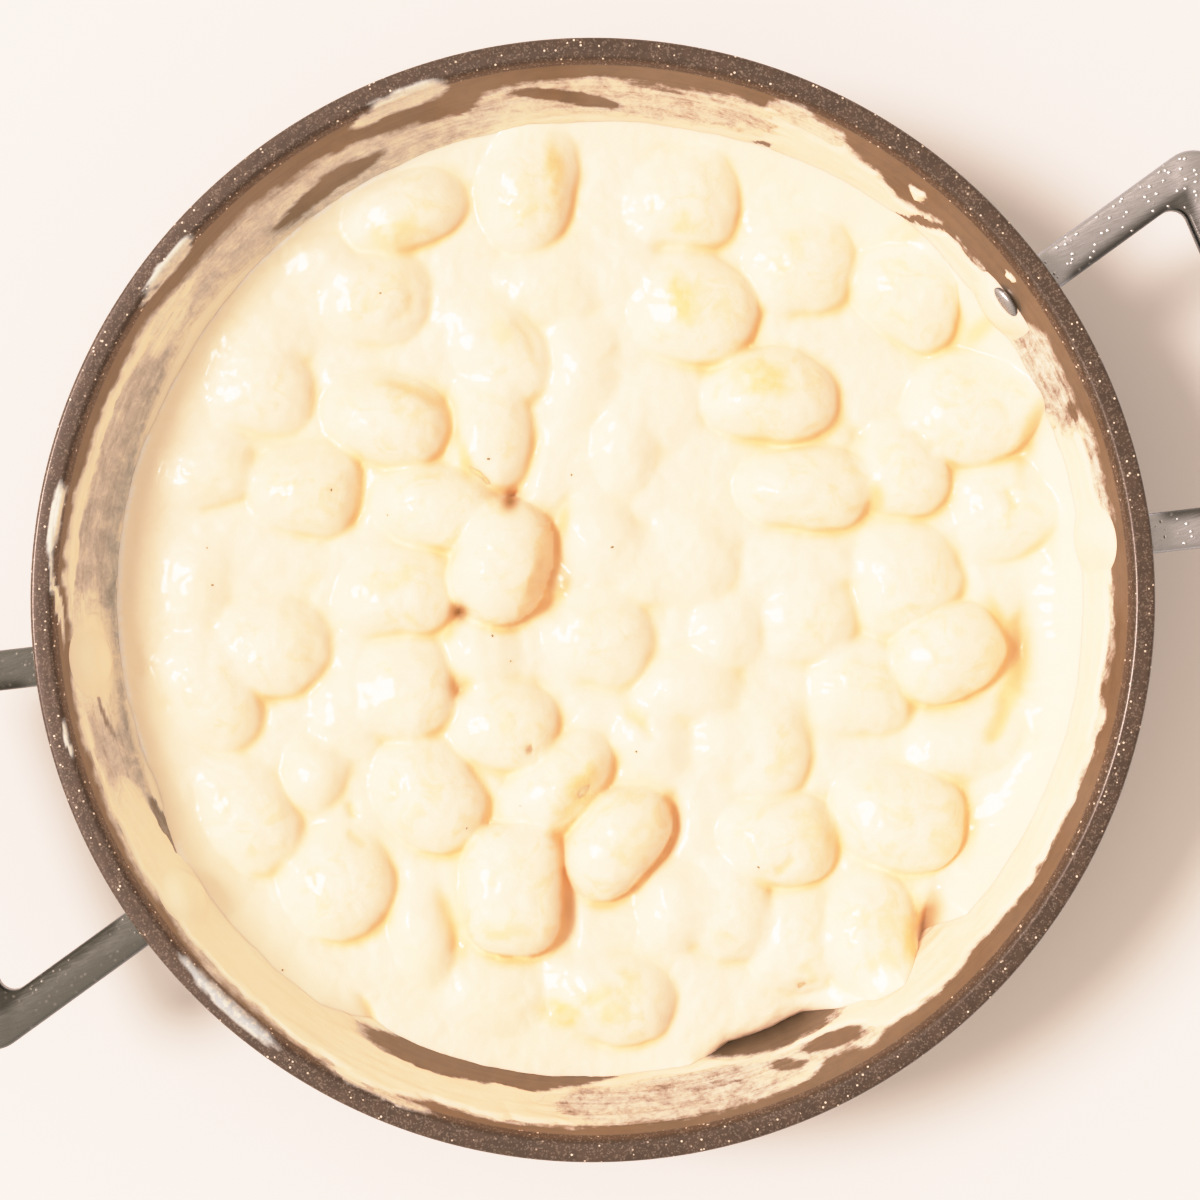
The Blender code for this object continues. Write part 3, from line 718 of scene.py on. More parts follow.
def roundedCorner(corner, before, after, radius):
    back = (before - corner).normalized()
    onward = (after - corner).normalized()
    half = back.angle(onward) / 2
    middle = corner + (back + onward).normalized() * radius / math.sin(half)
    first = corner + back * radius / math.tan(half) - middle
    turn = math.copysign(math.pi - 2 * half, onward.cross(back)) / handle["cornerSteps"]
    return [middle + Matrix.Rotation(turn * i, 2) @ first for i in range(handle["cornerSteps"] + 1)]


def loopOutline():
    arm = Vector((math.cos(handle["spread"]), math.sin(handle["spread"])))
    side = Vector((-arm.y, arm.x)) * handle["width"] / 2
    start = arm * (handle["padRadius"] - handle["intoPad"])
    sides = (
        (start + side, handle["outer"], handle["outerCorner"]),
        (start - side, handle["inner"], handle["innerCorner"]),
    )
    edges = []
    for end, grip, radius in sides:
        corner = end + arm * (grip - end.x) / arm.x
        middle = Vector((grip + handle["bow"], 0))
        half = [end] + roundedCorner(corner, end, middle, radius)
        edges.append(half + [middle] + [Vector((p.x, -p.y)) for p in reversed(half)])
    return edges[0] + edges[1][::-1]


def wallSpot(angle):
    height = handle["rivetHeight"]
    seat = Vector((innerRadius(height), 0, height)) * mm
    inward = Vector((-math.cos(wallAngle), 0, math.sin(wallAngle)))
    turn = inward.to_track_quat("Z", "Y").to_matrix().to_4x4()
    return Matrix.Rotation(angle, 4, "Z") @ Matrix.Translation(seat) @ turn


def helperFrom(shape, name):
    mesh = bpy.data.meshes.new(name)
    shape.to_mesh(mesh)
    shape.free()
    helper = bpy.data.objects.new(name, mesh)
    bpy.context.scene.collection.objects.link(helper)
    return helper


def loopShape(place):
    shape = bmesh.new()
    half = handle["thickness"] / 2 * mm
    corners = [shape.verts.new((p.x * mm, p.y * mm, -half)) for p in loopOutline()]
    face = shape.faces.new(corners)
    made = bmesh.ops.extrude_face_region(shape, geom=[face])
    raised = [part for part in made["geom"] if isinstance(part, bmesh.types.BMVert)]
    bmesh.ops.translate(shape, verts=raised, vec=(0, 0, 2 * half))
    bmesh.ops.recalc_face_normals(shape, faces=shape.faces)
    level = [edge for edge in shape.edges if abs(edge.verts[0].co.z - edge.verts[1].co.z) < half]
    bmesh.ops.bevel(shape, geom=level, offset=handle["edge"] * mm, segments=3, affect="EDGES",
                    profile=0.5, material=-1, clamp_overlap=True)
    bmesh.ops.triangulate(shape, faces=[face for face in shape.faces if len(face.verts) > 4])
    bmesh.ops.transform(shape, matrix=place, verts=shape.verts)
    return shape


def makeHandles(steel):
    attach = Matrix.Translation((handle["padRadius"] * mm, 0, handle["rivetHeight"] * mm))
    back = Matrix.Translation((-handle["padRadius"] * mm, 0, 0))
    tilt = attach @ Matrix.Rotation(-handle["tilt"], 4, "Y") @ back
    clear = pan["wall"] / math.cos(wallAngle) + handle["gap"]
    for side, middle in (("Right", 0), ("Left", math.pi)):
        piece = helperFrom(loopShape(Matrix.Rotation(middle, 4, "Z") @ tilt), "loop")
        helpers = []
        for angle in (middle - handle["spread"], middle + handle["spread"]):
            shape = bmesh.new()
            bmesh.ops.create_cube(shape, size=1)
            bmesh.ops.scale(shape, verts=shape.verts, vec=Vector(handle["padSize"]) * mm)
            bmesh.ops.bevel(shape, geom=shape.edges, offset=handle["padRounding"] * mm, segments=5,
                            affect="EDGES", profile=0.5, material=-1)
            out = (handle["padRadius"] - handle["padSize"][0] / 2) * mm
            place = Matrix.Rotation(angle, 4, "Z") @ Matrix.Translation((out, 0, handle["rivetHeight"] * mm))
            bmesh.ops.transform(shape, matrix=place, verts=shape.verts)
            helpers.append(("UNION", helperFrom(shape, "pad")))
        shape = bmesh.new()
        low, high = handle["gapFrom"], pan["height"]
        bmesh.ops.create_cone(shape, cap_ends=True, segments=256, radius1=(innerRadius(low) + clear) * mm,
                              radius2=(innerRadius(high) + clear) * mm, depth=(high - low) * mm)
        bmesh.ops.translate(shape, verts=shape.verts, vec=(0, 0, (high + low) / 2 * mm))
        helpers.append(("DIFFERENCE", helperFrom(shape, "clearance")))
        for operation, helper in helpers:
            step = piece.modifiers.new(operation, "BOOLEAN")
            step.operation = operation
            step.solver = "EXACT"
            step.object = helper
        bpy.context.view_layer.update()
        graph = bpy.context.evaluated_depsgraph_get()
        baked = bmesh.new()
        baked.from_object(piece, graph)
        for helper in [piece] + [row[1] for row in helpers]:
            bpy.data.objects.remove(helper)
        made = newPiece("handle" + side, baked, steel, ["handle_" + side.lower()])
        made.data.set_sharp_from_angle(angle=math.radians(50))


def makeRivets(steel):
    for side, middle in (("Right", 0), ("Left", math.pi)):
        for letter, sign in (("A", -1), ("B", 1)):
            head, seat = handle["rivetHead"], handle["rivetSeat"]
            shank, end = handle["shank"], -handle["shankDepth"]
            outline = []
            for i in range(handle["rivetSteps"] + 1):
                angle = math.pi / 2 * i / handle["rivetSteps"]
                height = seat + handle["rivetDome"] * (0.2 + 0.8 * math.cos(angle))
                outline.append((head * math.sin(angle), height))
            outline += [(head, seat), (shank, seat), (shank, end), (0, end)]
            shape = turnedShape(outline, 48)
            bmesh.ops.transform(shape, matrix=wallSpot(middle + sign * handle["spread"]), verts=shape.verts)
            node = "rivet_" + side.lower() + "_" + letter.lower()
            made = newPiece("rivet" + side + letter, shape, steel, [node])
            made.data.set_sharp_from_angle(angle=math.radians(40))


satin = satinSteel()
makeHandles(satin)
makeRivets(satin)
print("handles and rivets fitted")


# Gnocchi and sauce: places are in mm with x to the camera's right

gnocchi = {
    "halfHeight": 11.0,
    "roundness": 2.25,
    "planRoundness": 2.25,
    "inset": 0.7,  # how deep their own surface lies under the sauce's skin
    "taper": 0.12,
    "bend": 0.12,
    "lean": 0.10,  # they rise towards the lower right, where the sauce has run off them
    "gutter": 1.1,
    "gutterWidth": 4.6,
    "raggedCut": 1.3,
    # x, y, length, width, turn, height above the sauce, and then the squareness where it differs
    "raised": (
        (-49, 101, 31, 19, 18, 5.0),
        (-57, 79, 26, 23, 0, 4.0),
        (-87, 55, 25, 21, -5, 3.5),
        (-54, 47, 32, 24, -15, 6.0),
        (-100, 34, 22, 17, 10, 3.0),
        (-75, 29, 28, 23, 0, 5.0),
        (-40, 24, 34, 22, -10, 6.0),
        (-51, 2, 31, 23, 5, 5.0),
        (-84, -12, 29, 24, 0, 4.5),
        (-100, -23, 31, 21, -55, 4.0),
        (-49, -23, 26, 25, 90, 5.0),
        (-24, -32, 28, 23, -10, 5.0),
        (-43, -50, 33, 25, -50, 6.0),
        (-90, -55, 31, 21, -55, 4.0),
        (-67, -73, 29, 27, -60, 5.0),
        (-9, -48, 33, 20, 42, 6.0),
        (6, -63, 33, 23, 52, 9.0),
        (4, -103, 32, 22, -12, 4.5),
        (35, -79, 26, 21, 90, 3.5),
        (48, -62, 31, 23, -5, 6.0),
        (79, -56, 35, 27, -12, 7.0),
        (53, -88, 25, 19, 90, 3.0),
        (92, -14, 31, 25, 25, 8.5),
        (81, 5, 28, 27, 90, 5.0),
        (57, -5, 23, 21, 0, 3.5),
        (70, -23, 25, 23, 0, 4.0),
        (55, 29, 35, 22, -2, 6.5),
        (80, 34, 26, 24, -45, 5.0),
        (97, 49, 32, 28, -20, 6.0),
        (106, 24, 25, 22, -60, 4.0),
        (45, -38, 28, 19, 95, 3.5),
        (2, -10, 26, 23, -20, 4.0),
        (-17, 107, 32, 24, 80, 5.0),
        (23, 104, 27, 25, 0, 4.5),
        (26, 76, 33, 28, -20, 6.0),
        (46, 53, 35, 24, -3, 7.0),
        (-25, 66, 28, 19, -50, 3.0),
        (54, 87, 27, 25, 0, 4.5),
        (81, 78, 31, 20, -45, 6.0),
        (-27, 44, 31, 20, 90, 4.0),
        (-21, -75, 35, 26, 90, 8.0, 3.2),
    ),
    # the same, and then how much of the half width is left at the cut side and how steeply it falls away
    "cut": (
        (-23.5, 10, 34, 25.5, 73, 10.0, 0.55, 1.6),
        (72, -86, 31, 24, 85, 6.0, 0.75, 1.2),
    ),
    "covered": (
        (-12, 84, 26, 21, 0, 2.8),
        (6, 88, 21, 18, 0, 2.1),
        (-4, 61, 26, 18, 90, 2.8),
        (8, 44, 28, 16, 85, 2.8),
        (19, 52, 21, 18, 60, 2.1),
        (1, 16, 24, 20, -60, 3.5),
        (12, 10, 18, 18, 0, 2.1),
        (25, 13, 25, 22, 90, 2.8),
        (52, 10, 28, 16, 0, 2.1),
        (34, -8, 18, 18, 0, 2.8),
        (24, -23, 27, 18, 5, 3.5),
        (33, -36, 18, 16, 90, 2.8),
        (15, -36, 21, 16, -30, 2.8),
        (94, -37, 30, 19, 20, 3.5),
        (20, -79, 23, 18, 90, 3.5),
        (-73, -45, 18, 16, 70, 3.5),
        (-45, -85, 28, 16, 100, 3.5),
        (-29, -13, 21, 19, 90, 2.8),
        (-64, -27, 23, 18, 90, 2.1),
        (-86, 67, 21, 18, 0, 2.1),
        (-71, 88, 16, 13, 0, 2.1),
        (-27, -103, 23, 18, 0, 2.1),
        (-104, 6, 23, 16, 85, 2.1),
    ),
}

sauce = {
    "level": 40.0,
    "cells": 300,
    "edge": 124.4,
    # radius and height of the rings that close it below, down to the pan's floor
    "below": ((119.5, 27), (112.5, 12), (103, 4.6)),
    "sharpBlend": 1.9,
    "softBlend": 4.2,
    "coveredBlend": 2.3,
    "waves": 0.7,
    "lumps": 0.8,
    "fineLumps": 0.4,
    "ripples": 0.27,
    "grain": 0.16,
    # towards the lower right: the side the sauce has run off the pieces, and the side away from the light
    # where the painted shade is strongest
    "runOffAndShadeSide": (0.8, -0.6),
    # how far the sauce climbs at the wall, by angle, and over what width
    "climb": (
        (0, 9.5), (50, 9.5), (62, 7), (80, 3.0), (100, 1.5), (115, 0.8), (146, 0.5), (203, 0.6), (212, 7),
        (220, 9.5), (236, 9.5), (242, 1.0), (250, 1.6), (268, 0.5), (282, 0.3), (287, -7.5), (297, -7.5),
        (301, 0.5), (305, 7), (309, 8), (312.5, 1.0), (317, 1.0), (320, 8), (324, 9.5), (360, 9.5),
    ),
    "climbWidth": 4.0,
    "intoWall": 0.8,
    "colour": (0.95, 0.775, 0.63),
    "wallColour": (0.94, 0.765, 0.615),
    # painted shade: a shaded copy of the sauce's colour, used where the left wall shades it
    "shadedColour": (1.0, 0.92, 0.75),
    # white of the painted highlight along the meniscus at the left edge
    "frothAndHighlightColour": (1.0, 1.0, 1.0),
    # how much warmer the sauce is in its cloudy places, in the pan and on the wall
    "warmer": (1.0, 0.96, 0.88),
    "wallWarmer": (0.96, 0.84, 0.76),
    # painted shade: the colour that darkens the sauce in its hollows and creases
    "paintedShadeColour": (0.86, 0.515, 0.235),
    # painted shade for the darkest gaps
    "gapShadeColour": (0.2, 0.1, 0.02),
    "doughColour": (0.92, 0.56, 0.27),
    # dough that shows through the sauce: x, y, half sizes, turn, strength
    "bare": (
        (23, 77.6, 4.2, 8, 18, 1.0),
        (43.8, 57, 8.5, 5, -15, 1.0),
        (23, 98, 3.5, 3.5, 0, 0.6),
        (51, 94.5, 7, 2, 0, 0.35),
        (51, 87, 3, 7, 0, 0.3),
        (79, 93.5, 4.5, 3, -35, 0.5),
        (-8.5, -107.4, 7, 4, -15, 1.0),
        (3, -104.5, 5, 6, 20, 0.7),
        (10, -100, 3, 5, 30, 0.5),
        (-2.5, -48.5, 4.5, 9, -38, 0.95),
        (-47, 48, 4, 3, -20, 0.5),
        (-54, 4, 7, 3, 10, 0.4),
        (-50.5, 95, 9, 4.5, 20, 0.55),
        (-9.8, 109, 3.2, 10, 6, 0.85),
        (-17, 104, 4, 8, 6, 0.4),
        (-24, 69, 3, 6, 30, 0.45),
        (81.8, -87, 2.6, 7, -8, 1.0),
        (12, -62, 4, 8, -35, 0.4),
        (-22, -85, 7, 2.5, 0, 0.4),
        (57, -59, 5, 5, 0, 0.4),
        (62, -62, 3, 6, 10, 0.6),
        (109, -19, 2.5, 6, -25, 0.5),
        (104, -33, 3, 5, -30, 0.6),
        (11, -30, 5, 3, -35, 0.5),
        (-74, 6, 4, 3, 0, 0.3),
    ),
    "foldWidth": 1.5,
    "foldDepth": 0.8,
    # folds and creases: width, depth, and the points that each runs through
    "folds": (
        (1.1, 1.4, ((-60.7, -100.9), (-57.0, -110.0), (-52.5, -116.4))),
        (1.3, 1.3, ((-55.7, 58.9), (-47.3, 55.0), (-38.9, 50.4), (-36.4, 44.0), (-34.3, 36.8))),
        (1.2, 1.2, ((-35.5, 36.2), (-29.2, 32.3), (-21.4, 25.4))),
        (1.1, 0.8, ((-21.4, 73.1), (-16.9, 68.6), (-14.9, 62.1))),
        (1.3, 0.7, ((-47.3, 82.8), (-48.0, 75.0), (-50.6, 71.1))),
        (1.2, 0.9, ((-61.5, 34.9), (-61.5, 22.0), (-62.8, 18.1))),
        (1.0, 0.5, ((82.1, 89.3), (89.8, 81.5), (94.4, 73.7), (92.4, 67.3))),
        (1.2, 0.8, ((82.1, 45.3), (89.8, 38.8))),
        (1.0, 1.0, ((106.6, 29.4), (108.4, 26.4), (109.6, 22.6))),
        (1.4, 0.5, ((42.0, 25.9), (51.0, 23.3), (61.4, 25.9))),
        (1.3, 0.35, ((44.0, 33.0), (52.0, 35.2), (64.0, 34.5))),
        (1.0, 0.9, ((-64.1, -59.5), (-58.9, -64.7))),
        (0.9, 1.2, ((-63.1, -51.7), (-61.5, -56.9))),
        (1.2, 1.3, ((-17.0, -38.6), (-15.8, -38.9))),
        (1.4, 1.5, ((-40.8, -73.7), (-35.6, -85.4), (-35.0, -93.1))),
        (1.6, 1.2, ((-35.4, -22.5), (-33.4, -24.0))),
        (1.3, 0.5, ((-73.0, -9.0), (-72.6, -18.0))),
        (1.1, 1.0, ((47.1, -71.1), (52.8, -65.2))),
        (1.2, 0.7, ((56.2, -53.0), (61.0, -56.9), (62.0, -64.7), (59.5, -69.8))),
        (1.1, 0.45, ((88.5, -44.0), (94.2, -50.4), (96.0, -59.5))),
        (1.5, 1.3, ((109.2, -23.3), (106.6, -29.7), (101.5, -38.8))),
        (1.1, 0.8, ((8.3, -28.4), (13.5, -32.3), (16.1, -37.5))),
        (1.3, 1.0, ((-10.8, -60.0), (-2.5, -50.0), (4.5, -43.5))),
        (1.2, 0.5, ((-0.2, -56.4), (6.8, -52.0), (14.0, -51.0))),
        (1.0, 0.5, ((-6.0, -98.0), (-1.0, -103.0), (2.0, -109.0))),
        (1.0, 0.5, ((5.0, -97.0), (9.0, -102.0), (10.0, -107.0))),
        (1.2, 0.8, ((53.5, -93.5), (58.0, -98.5), (51.0, -101.0))),
    ),
    # painted shade, a nearly black brown, in the gaps that go down between pieces: x, y, half sizes, turn,
    # strength
    "gapShades": (
        (-21.6, 25.4, 2.2, 2.6, -10, 0.9),
        (-34.6, -3.2, 2.4, 2.4, 40, 0.9),
        (88.0, -84.5, 2.2, 9.0, -8, 0.75),
        (-7.6, 5.0, 2.0, 3.4, -20, 0.35),
        (-35.6, -22.6, 2.0, 2.6, 30, 0.4),
        (-16.4, -38.8, 1.3, 1.3, 0, 0.5),
        (-6.6, -80.0, 1.6, 4.0, 5, 0.2),
        (111.0, -13.0, 3.2, 8.5, 0, 0.3),
        (112.0, 41.0, 2.4, 8.5, -8, 0.22),
    ),
    # painted shade in the deep sauce that little light reaches: x, y, half sizes, turn, strength
    "shades": (
        (110.5, -14, 3.4, 9, 0, 0.95),
        (108.5, -24, 4.0, 6, -30, 0.8),
        (111.5, 42, 2.4, 10, -8, 0.75),
        (99, 69, 3.0, 6, -35, 0.65),
        (-7.6, 20.5, 2.4, 5.5, -8, 0.7),
        (-8.2, 3.0, 2.6, 4.5, -20, 0.75),
        (73.6, 27.0, 2.4, 5.0, 10, 0.75),
        (-33.0, 36.0, 2.2, 6.0, 12, 0.8),
        (-38.0, -9.0, 3.2, 3.0, 40, 0.65),
        (-33.0, -21.5, 3.0, 3.4, 30, 0.6),
        (-34.0, -90.0, 2.4, 6.0, 5, 0.55),
        (98.0, -60.0, 2.6, 8.0, -15, 0.6),
        (30.5, 60.0, 5.0, 2.4, 25, 0.5),
        (104.5, -2.5, 2.4, 6.0, 20, 0.55),
    ),
    # low places between pieces: x, y, half sizes, turn, depth
    "dips": (
        (-6.5, 21, 3.0, 6, -8, 2.6),
        (-10.5, -1.5, 3.0, 3, 0, 2.6),
        (-21.3, 26, 2.4, 4.0, 30, 7.5),
        (-34.4, -3.4, 2.6, 3, 0, 6.5),
        (87.6, -85.5, 2.2, 8.5, -8, 4.0),
        (-36.5, -17, 2.5, 7, -10, 2.5),
        (-6, -83, 2.4, 9, 0, 1.8),
        (-35, 46, 2.2, 6, 12, 2.5),
        (-16, 36, 2.0, 8, -12, 1.5),
        (20, -58, 2.4, 7, -12, 3.0),
        (44, -72, 2.2, 8, 0, 1.5),
        (112, -12, 3.0, 12, 0, 3.0),
        (70, 42, 5, 2.6, -50, 1.8),
        (-62, 30, 2.2, 8, 0, 2.0),
        (107, 26, 1.6, 3, 10, 1.5),
        (-13, -28, 2, 7, 10, 2.0),
    ),
}


def fullHalf(visible, rise, roundness):
    depth = (gnocchi["halfHeight"] - rise) / gnocchi["halfHeight"]
    return visible / 2 / (1 - depth**roundness) ** (1 / roundness)


def smoothMax(first, second, blend):
    share = np.clip(0.5 + 0.5 * (second - first) / blend, 0, 1)
    return first + (second - first) * share + blend * share * (1 - share)


def shapeOf(row):
    # taper and bend differ from piece to piece, and the lean a little too
    x0, y0 = row[:2]
    pick = [2 * noise.noise((x0 / 7 + 3.1, y0 / 7, seed)) for seed in (1.5, 4.5, 7.5)]
    return gnocchi["taper"] * pick[0], gnocchi["bend"] * pick[1], gnocchi["lean"] * (1 + 0.6 * pick[2])


def domeOver(x, y, row, roundness, cut=None):
    x0, y0, length, width, turn, rise = row[:6]
    halfX = fullHalf(length, rise, roundness)
    halfY = fullHalf(width, rise, roundness)
    taper, bend, lean = shapeOf(row)
    angle = math.radians(turn)
    along = (x - x0) * math.cos(angle) + (y - y0) * math.sin(angle)
    across = (y - y0) * math.cos(angle) - (x - x0) * math.sin(angle)
    farAlong = np.clip(along / halfX, -1.2, 1.2)
    bent = (across - bend * halfY * (farAlong**2 - 0.3)) / (1 + taper * farAlong)
    plan = gnocchi["planRoundness"] if roundness < 3 else roundness
    left = 1 - (abs(along / halfX) ** plan + abs(bent / halfY) ** plan) ** (roundness / plan)
    middle = sauce["level"] + rise - gnocchi["halfHeight"]
    height = middle + gnocchi["halfHeight"] * np.sign(left) * abs(left) ** (1 / roundness)
    face = 0
    if cut:
        share, slope = cut
        past = -across - halfY * share + gnocchi["raggedCut"] * noiseAt(x, y, 3.2, 51.0, 2)
        height = np.minimum(height, sauce["level"] + rise - slope * past)
        face = eased(past, 0.0, 0.9) * eased(height - sauce["level"], -1.5, 0.5)
    away = np.hypot(x - x0, y - y0)
    down = ((x - x0) * sauce["runOffAndShadeSide"][0] + (y - y0) * sauce["runOffAndShadeSide"][1])
    height = height + lean * np.clip(down, -width, width)
    reach = (abs(along / length * 2) ** plan + abs(bent / width * 2) ** plan) ** (1 / plan)
    side = eased(down / np.maximum(away, 1), -0.3, 0.7)
    outside = (reach - 1) * (length + width) / 4
    gutter = gnocchi["gutter"] * side * np.exp(-((outside / gnocchi["gutterWidth"]) ** 2))
    blend = sauce["softBlend"] + (sauce["sharpBlend"] - sauce["softBlend"]) * side
    return np.maximum(height, 0), gutter, blend, face


def farFrom(x, y, points):
    nearest = np.full(len(x), np.inf)
    place = np.zeros(len(x))
    for i, ((x1, y1), (x2, y2)) in enumerate(zip(points, points[1:])):
        dx, dy = x2 - x1, y2 - y1
        share = np.clip(((x - x1) * dx + (y - y1) * dy) / (dx * dx + dy * dy), 0, 1)
        away = np.hypot(x - x1 - share * dx, y - y1 - share * dy)
        place = np.where(away < nearest, (i + share) / (len(points) - 1), place)
        nearest = np.minimum(nearest, away)
    return nearest, place


def oval(x, y, x0, y0, halfX, halfY, turn):
    angle = math.radians(turn)
    along = (x - x0) * math.cos(angle) + (y - y0) * math.sin(angle)
    across = (y - y0) * math.cos(angle) - (x - x0) * math.sin(angle)
    return np.hypot(along / halfX, across / halfY)


def softOval(x, y, x0, y0, halfX, halfY, turn, strength):
    return strength * np.exp(-oval(x, y, x0, y0, halfX, halfY, turn) ** 2)


def lumpOf(x, y, seed):
    return sauce["lumps"] * noiseAt(x, y, 15, seed) + sauce["fineLumps"] * noiseAt(x, y, 6, seed + 0.5)


def climbAt(around):
    return np.interp(around, [row[0] for row in sauce["climb"]], [row[1] for row in sauce["climb"]])


def sauceHeights(x, y):
    radius = np.hypot(x, y)
    around = np.degrees(np.arctan2(y, x)) % 360
    warpX = x + lumpOf(x, y, 1.0)
    warpY = y + lumpOf(x, y, 2.0)
    height = sauce["level"] + sauce["waves"] * noiseAt(x, y, 22, 5.0, 2)
    for row in sauce["dips"]:
        height -= softOval(x, y, *row)
    for row in gnocchi["covered"]:
        dome = domeOver(warpX, warpY, row, 2.2)[0]
        height = smoothMax(height, dome, sauce["coveredBlend"])
    domes = []
    for row in gnocchi["raised"]:
        domes.append(domeOver(warpX, warpY, row, row[6] if len(row) > 6 else gnocchi["roundness"]))
    for row in gnocchi["cut"]:
        domes.append(domeOver(warpX, warpY, row, gnocchi["roundness"], row[6:]))
    height -= np.max([gutter for _, gutter, _, _ in domes], axis=0)
    top = np.zeros_like(height)
    cut = np.zeros_like(height)
    for dome, _, blend, face in domes:
        top = np.maximum(top, eased(dome - sauce["level"], 1, 4))
        height = smoothMax(height, dome, blend)
        cut = np.maximum(cut, face)
    height += climbAt(around) * np.exp(-np.maximum(sauce["edge"] - radius, 0) / sauce["climbWidth"])
    height += sauce["grain"] * noiseAt(x, y, 2.6, 9.0, 3) + sauce["ripples"] * noiseAt(x, y, 6.0, 13.0, 2)
    foldShade = np.zeros_like(height)
    for width, depth, points in sauce["folds"]:
        away, place = farFrom(warpX, warpY, points)
        runOut = np.clip(6 * place * (1 - place), 0.1, 1)
        groove = np.exp(-((away / width / sauce["foldWidth"]) ** 2)) * runOut
        height -= depth * sauce["foldDepth"] * groove
        # painted shade along each fold
        foldShade = np.maximum(foldShade, min(depth, 1.2) * 0.5 * groove)
    return height, top, foldShade, cut


def blurred(values, passes):
    for _ in range(passes):
        padded = np.pad(values, 1, mode="edge")
        beside = padded[:-2, 1:-1] + padded[2:, 1:-1] + padded[1:-1, :-2] + padded[1:-1, 2:]
        values = (beside + 2 * values) / 6
    return values


def paintedShadeInHollows(u, v, height):
    # painted shade in the hollows: how far each place lies below what is near it, strongest on the sides that
    # face away from the light, to the lower right
    cells = sauce["cells"]
    order = np.lexsort((u.round(5), v.round(5)))
    grid = height[order].reshape(cells + 1, cells + 1)
    narrow = np.clip(blurred(grid, 12) - grid, 0, None)
    broad = np.clip(blurred(grid, 50) - grid, 0, None)
    upward, rightward = np.gradient(grid, 2 * sauce["edge"] / cells)
    falling = -(rightward * sauce["runOffAndShadeSide"][0] + upward * sauce["runOffAndShadeSide"][1])
    flank = eased(blurred(falling, 6), 0.0, 0.8)
    tone = np.clip(narrow * 0.6, 0, 0.5) * (0.4 + 0.6 * flank)
    tone += np.clip(broad * 1.15, 0, 0.9) * (0.3 + 0.7 * flank)
    paintedShade = np.empty_like(height)
    paintedShade[order] = blurred(tone, 3).ravel()
    return paintedShade


def barePlaces(x, y):
    bare = np.zeros_like(x)
    patchy = 0.8 + 0.9 * noiseAt(x, y, 5, 21.0, 3)
    for x0, y0, halfX, halfY, turn, strength in sauce["bare"]:
        away = oval(x, y, x0, y0, halfX, halfY, turn)
        bare = np.maximum(bare, strength * eased(-away, -1.3, -0.4) * np.clip(patchy, 0.2, 1))
    return bare


def makeSauce():
    cells = sauce["cells"]
    shape = bmesh.new()
    bmesh.ops.create_grid(shape, x_segments=cells, y_segments=cells, size=1)
    flat = np.array([vert.co[:2] for vert in shape.verts])
    u, v = flat.T
    x = u * np.sqrt(1 - v * v / 2) * sauce["edge"]
    y = v * np.sqrt(1 - u * u / 2) * sauce["edge"]
    height, top, foldShade, cut = sauceHeights(x, y)

    around = np.degrees(np.arctan2(y, x)) % 360
    inFromEdge = sauce["edge"] - np.hypot(x, y)
    paintedShade = np.maximum(paintedShadeInHollows(u, v, height) * eased(inFromEdge, 1.5, 5), foldShade)
    # painted shade in the gaps, which also adds to the painted shade of the hollows
    gapShade = np.zeros_like(height)
    for row in sauce["gapShades"]:
        gapShade = np.maximum(gapShade, softOval(x, y, *row))
    paintedShade = np.maximum(paintedShade, 0.7 * gapShade**0.7)
    # painted shade ovals, added on top of the painted shade of the hollows
    for row in sauce["shades"]:
        shade = softOval(x, y, *row)
        paintedShade = np.maximum(paintedShade, shade) + 0.3 * np.minimum(paintedShade, shade)
    paintedShade = np.where(cut > 0.3, np.clip(paintedShade, 0.0, 0.12), paintedShade)
    # a painted highlight line, broken up, along the meniscus at the left edge
    leftSide = eased(-abs(around - 165), -60, -40)
    broken = eased(noiseAt(x, y, 9, 41.0, 2), -0.35, 0.1)
    shares = {
        "paintedShade": paintedShade,
        "gapShade": gapShade,
        "top": top,
        "bare": np.maximum(barePlaces(x, y), 0.55 * cut),
        "frothAndHighlight": leftSide * broken * np.exp(-(((inFromEdge - 1.2) / 0.7) ** 2)),
        # the side that the left wall shades, where the shaded colour is painted
        "left": shadedSideShare(around) * np.exp(-inFromEdge / 8),
    }

    # the outermost part is stretched out to the wall
    away = np.hypot(x, y).clip(1)
    outward = innerRadius(height) + sauce["intoWall"] - sauce["edge"]
    outward *= eased(away, sauce["edge"] - 14, sauce["edge"])
    x, y = x * (1 + outward / away), y * (1 + outward / away)
    turnX = x * math.cos(foodTurn) - y * math.sin(foodTurn)
    turnY = x * math.sin(foodTurn) + y * math.cos(foodTurn)
    for vert, place in zip(shape.verts, np.column_stack((turnX, turnY, height)) * mm):
        vert.co = place
    edge = [part for part in shape.edges if part.is_boundary]
    for radius, level in sauce["below"]:
        made = bmesh.ops.extrude_edge_only(shape, edges=edge)["geom"]
        for vert in made:
            if isinstance(vert, bmesh.types.BMVert):
                out = vert.co.to_2d().normalized() * radius * mm
                vert.co = (out.x, out.y, level * mm)
        edge = [part for part in made if isinstance(part, bmesh.types.BMEdge) and part.is_boundary]
    bmesh.ops.edgeloop_fill(shape, edges=edge)
    bmesh.ops.recalc_face_normals(shape, faces=shape.faces)
    material = creamSkin("creamSkin", sauce["colour"], sauce["frothAndHighlightColour"], sauce["warmer"])
    piece = newPiece("creamSauce", shape, material, ["cream_sauce"])
    for name, values in shares.items():
        setAttribute(piece.data, name, values)
    return x, y, height


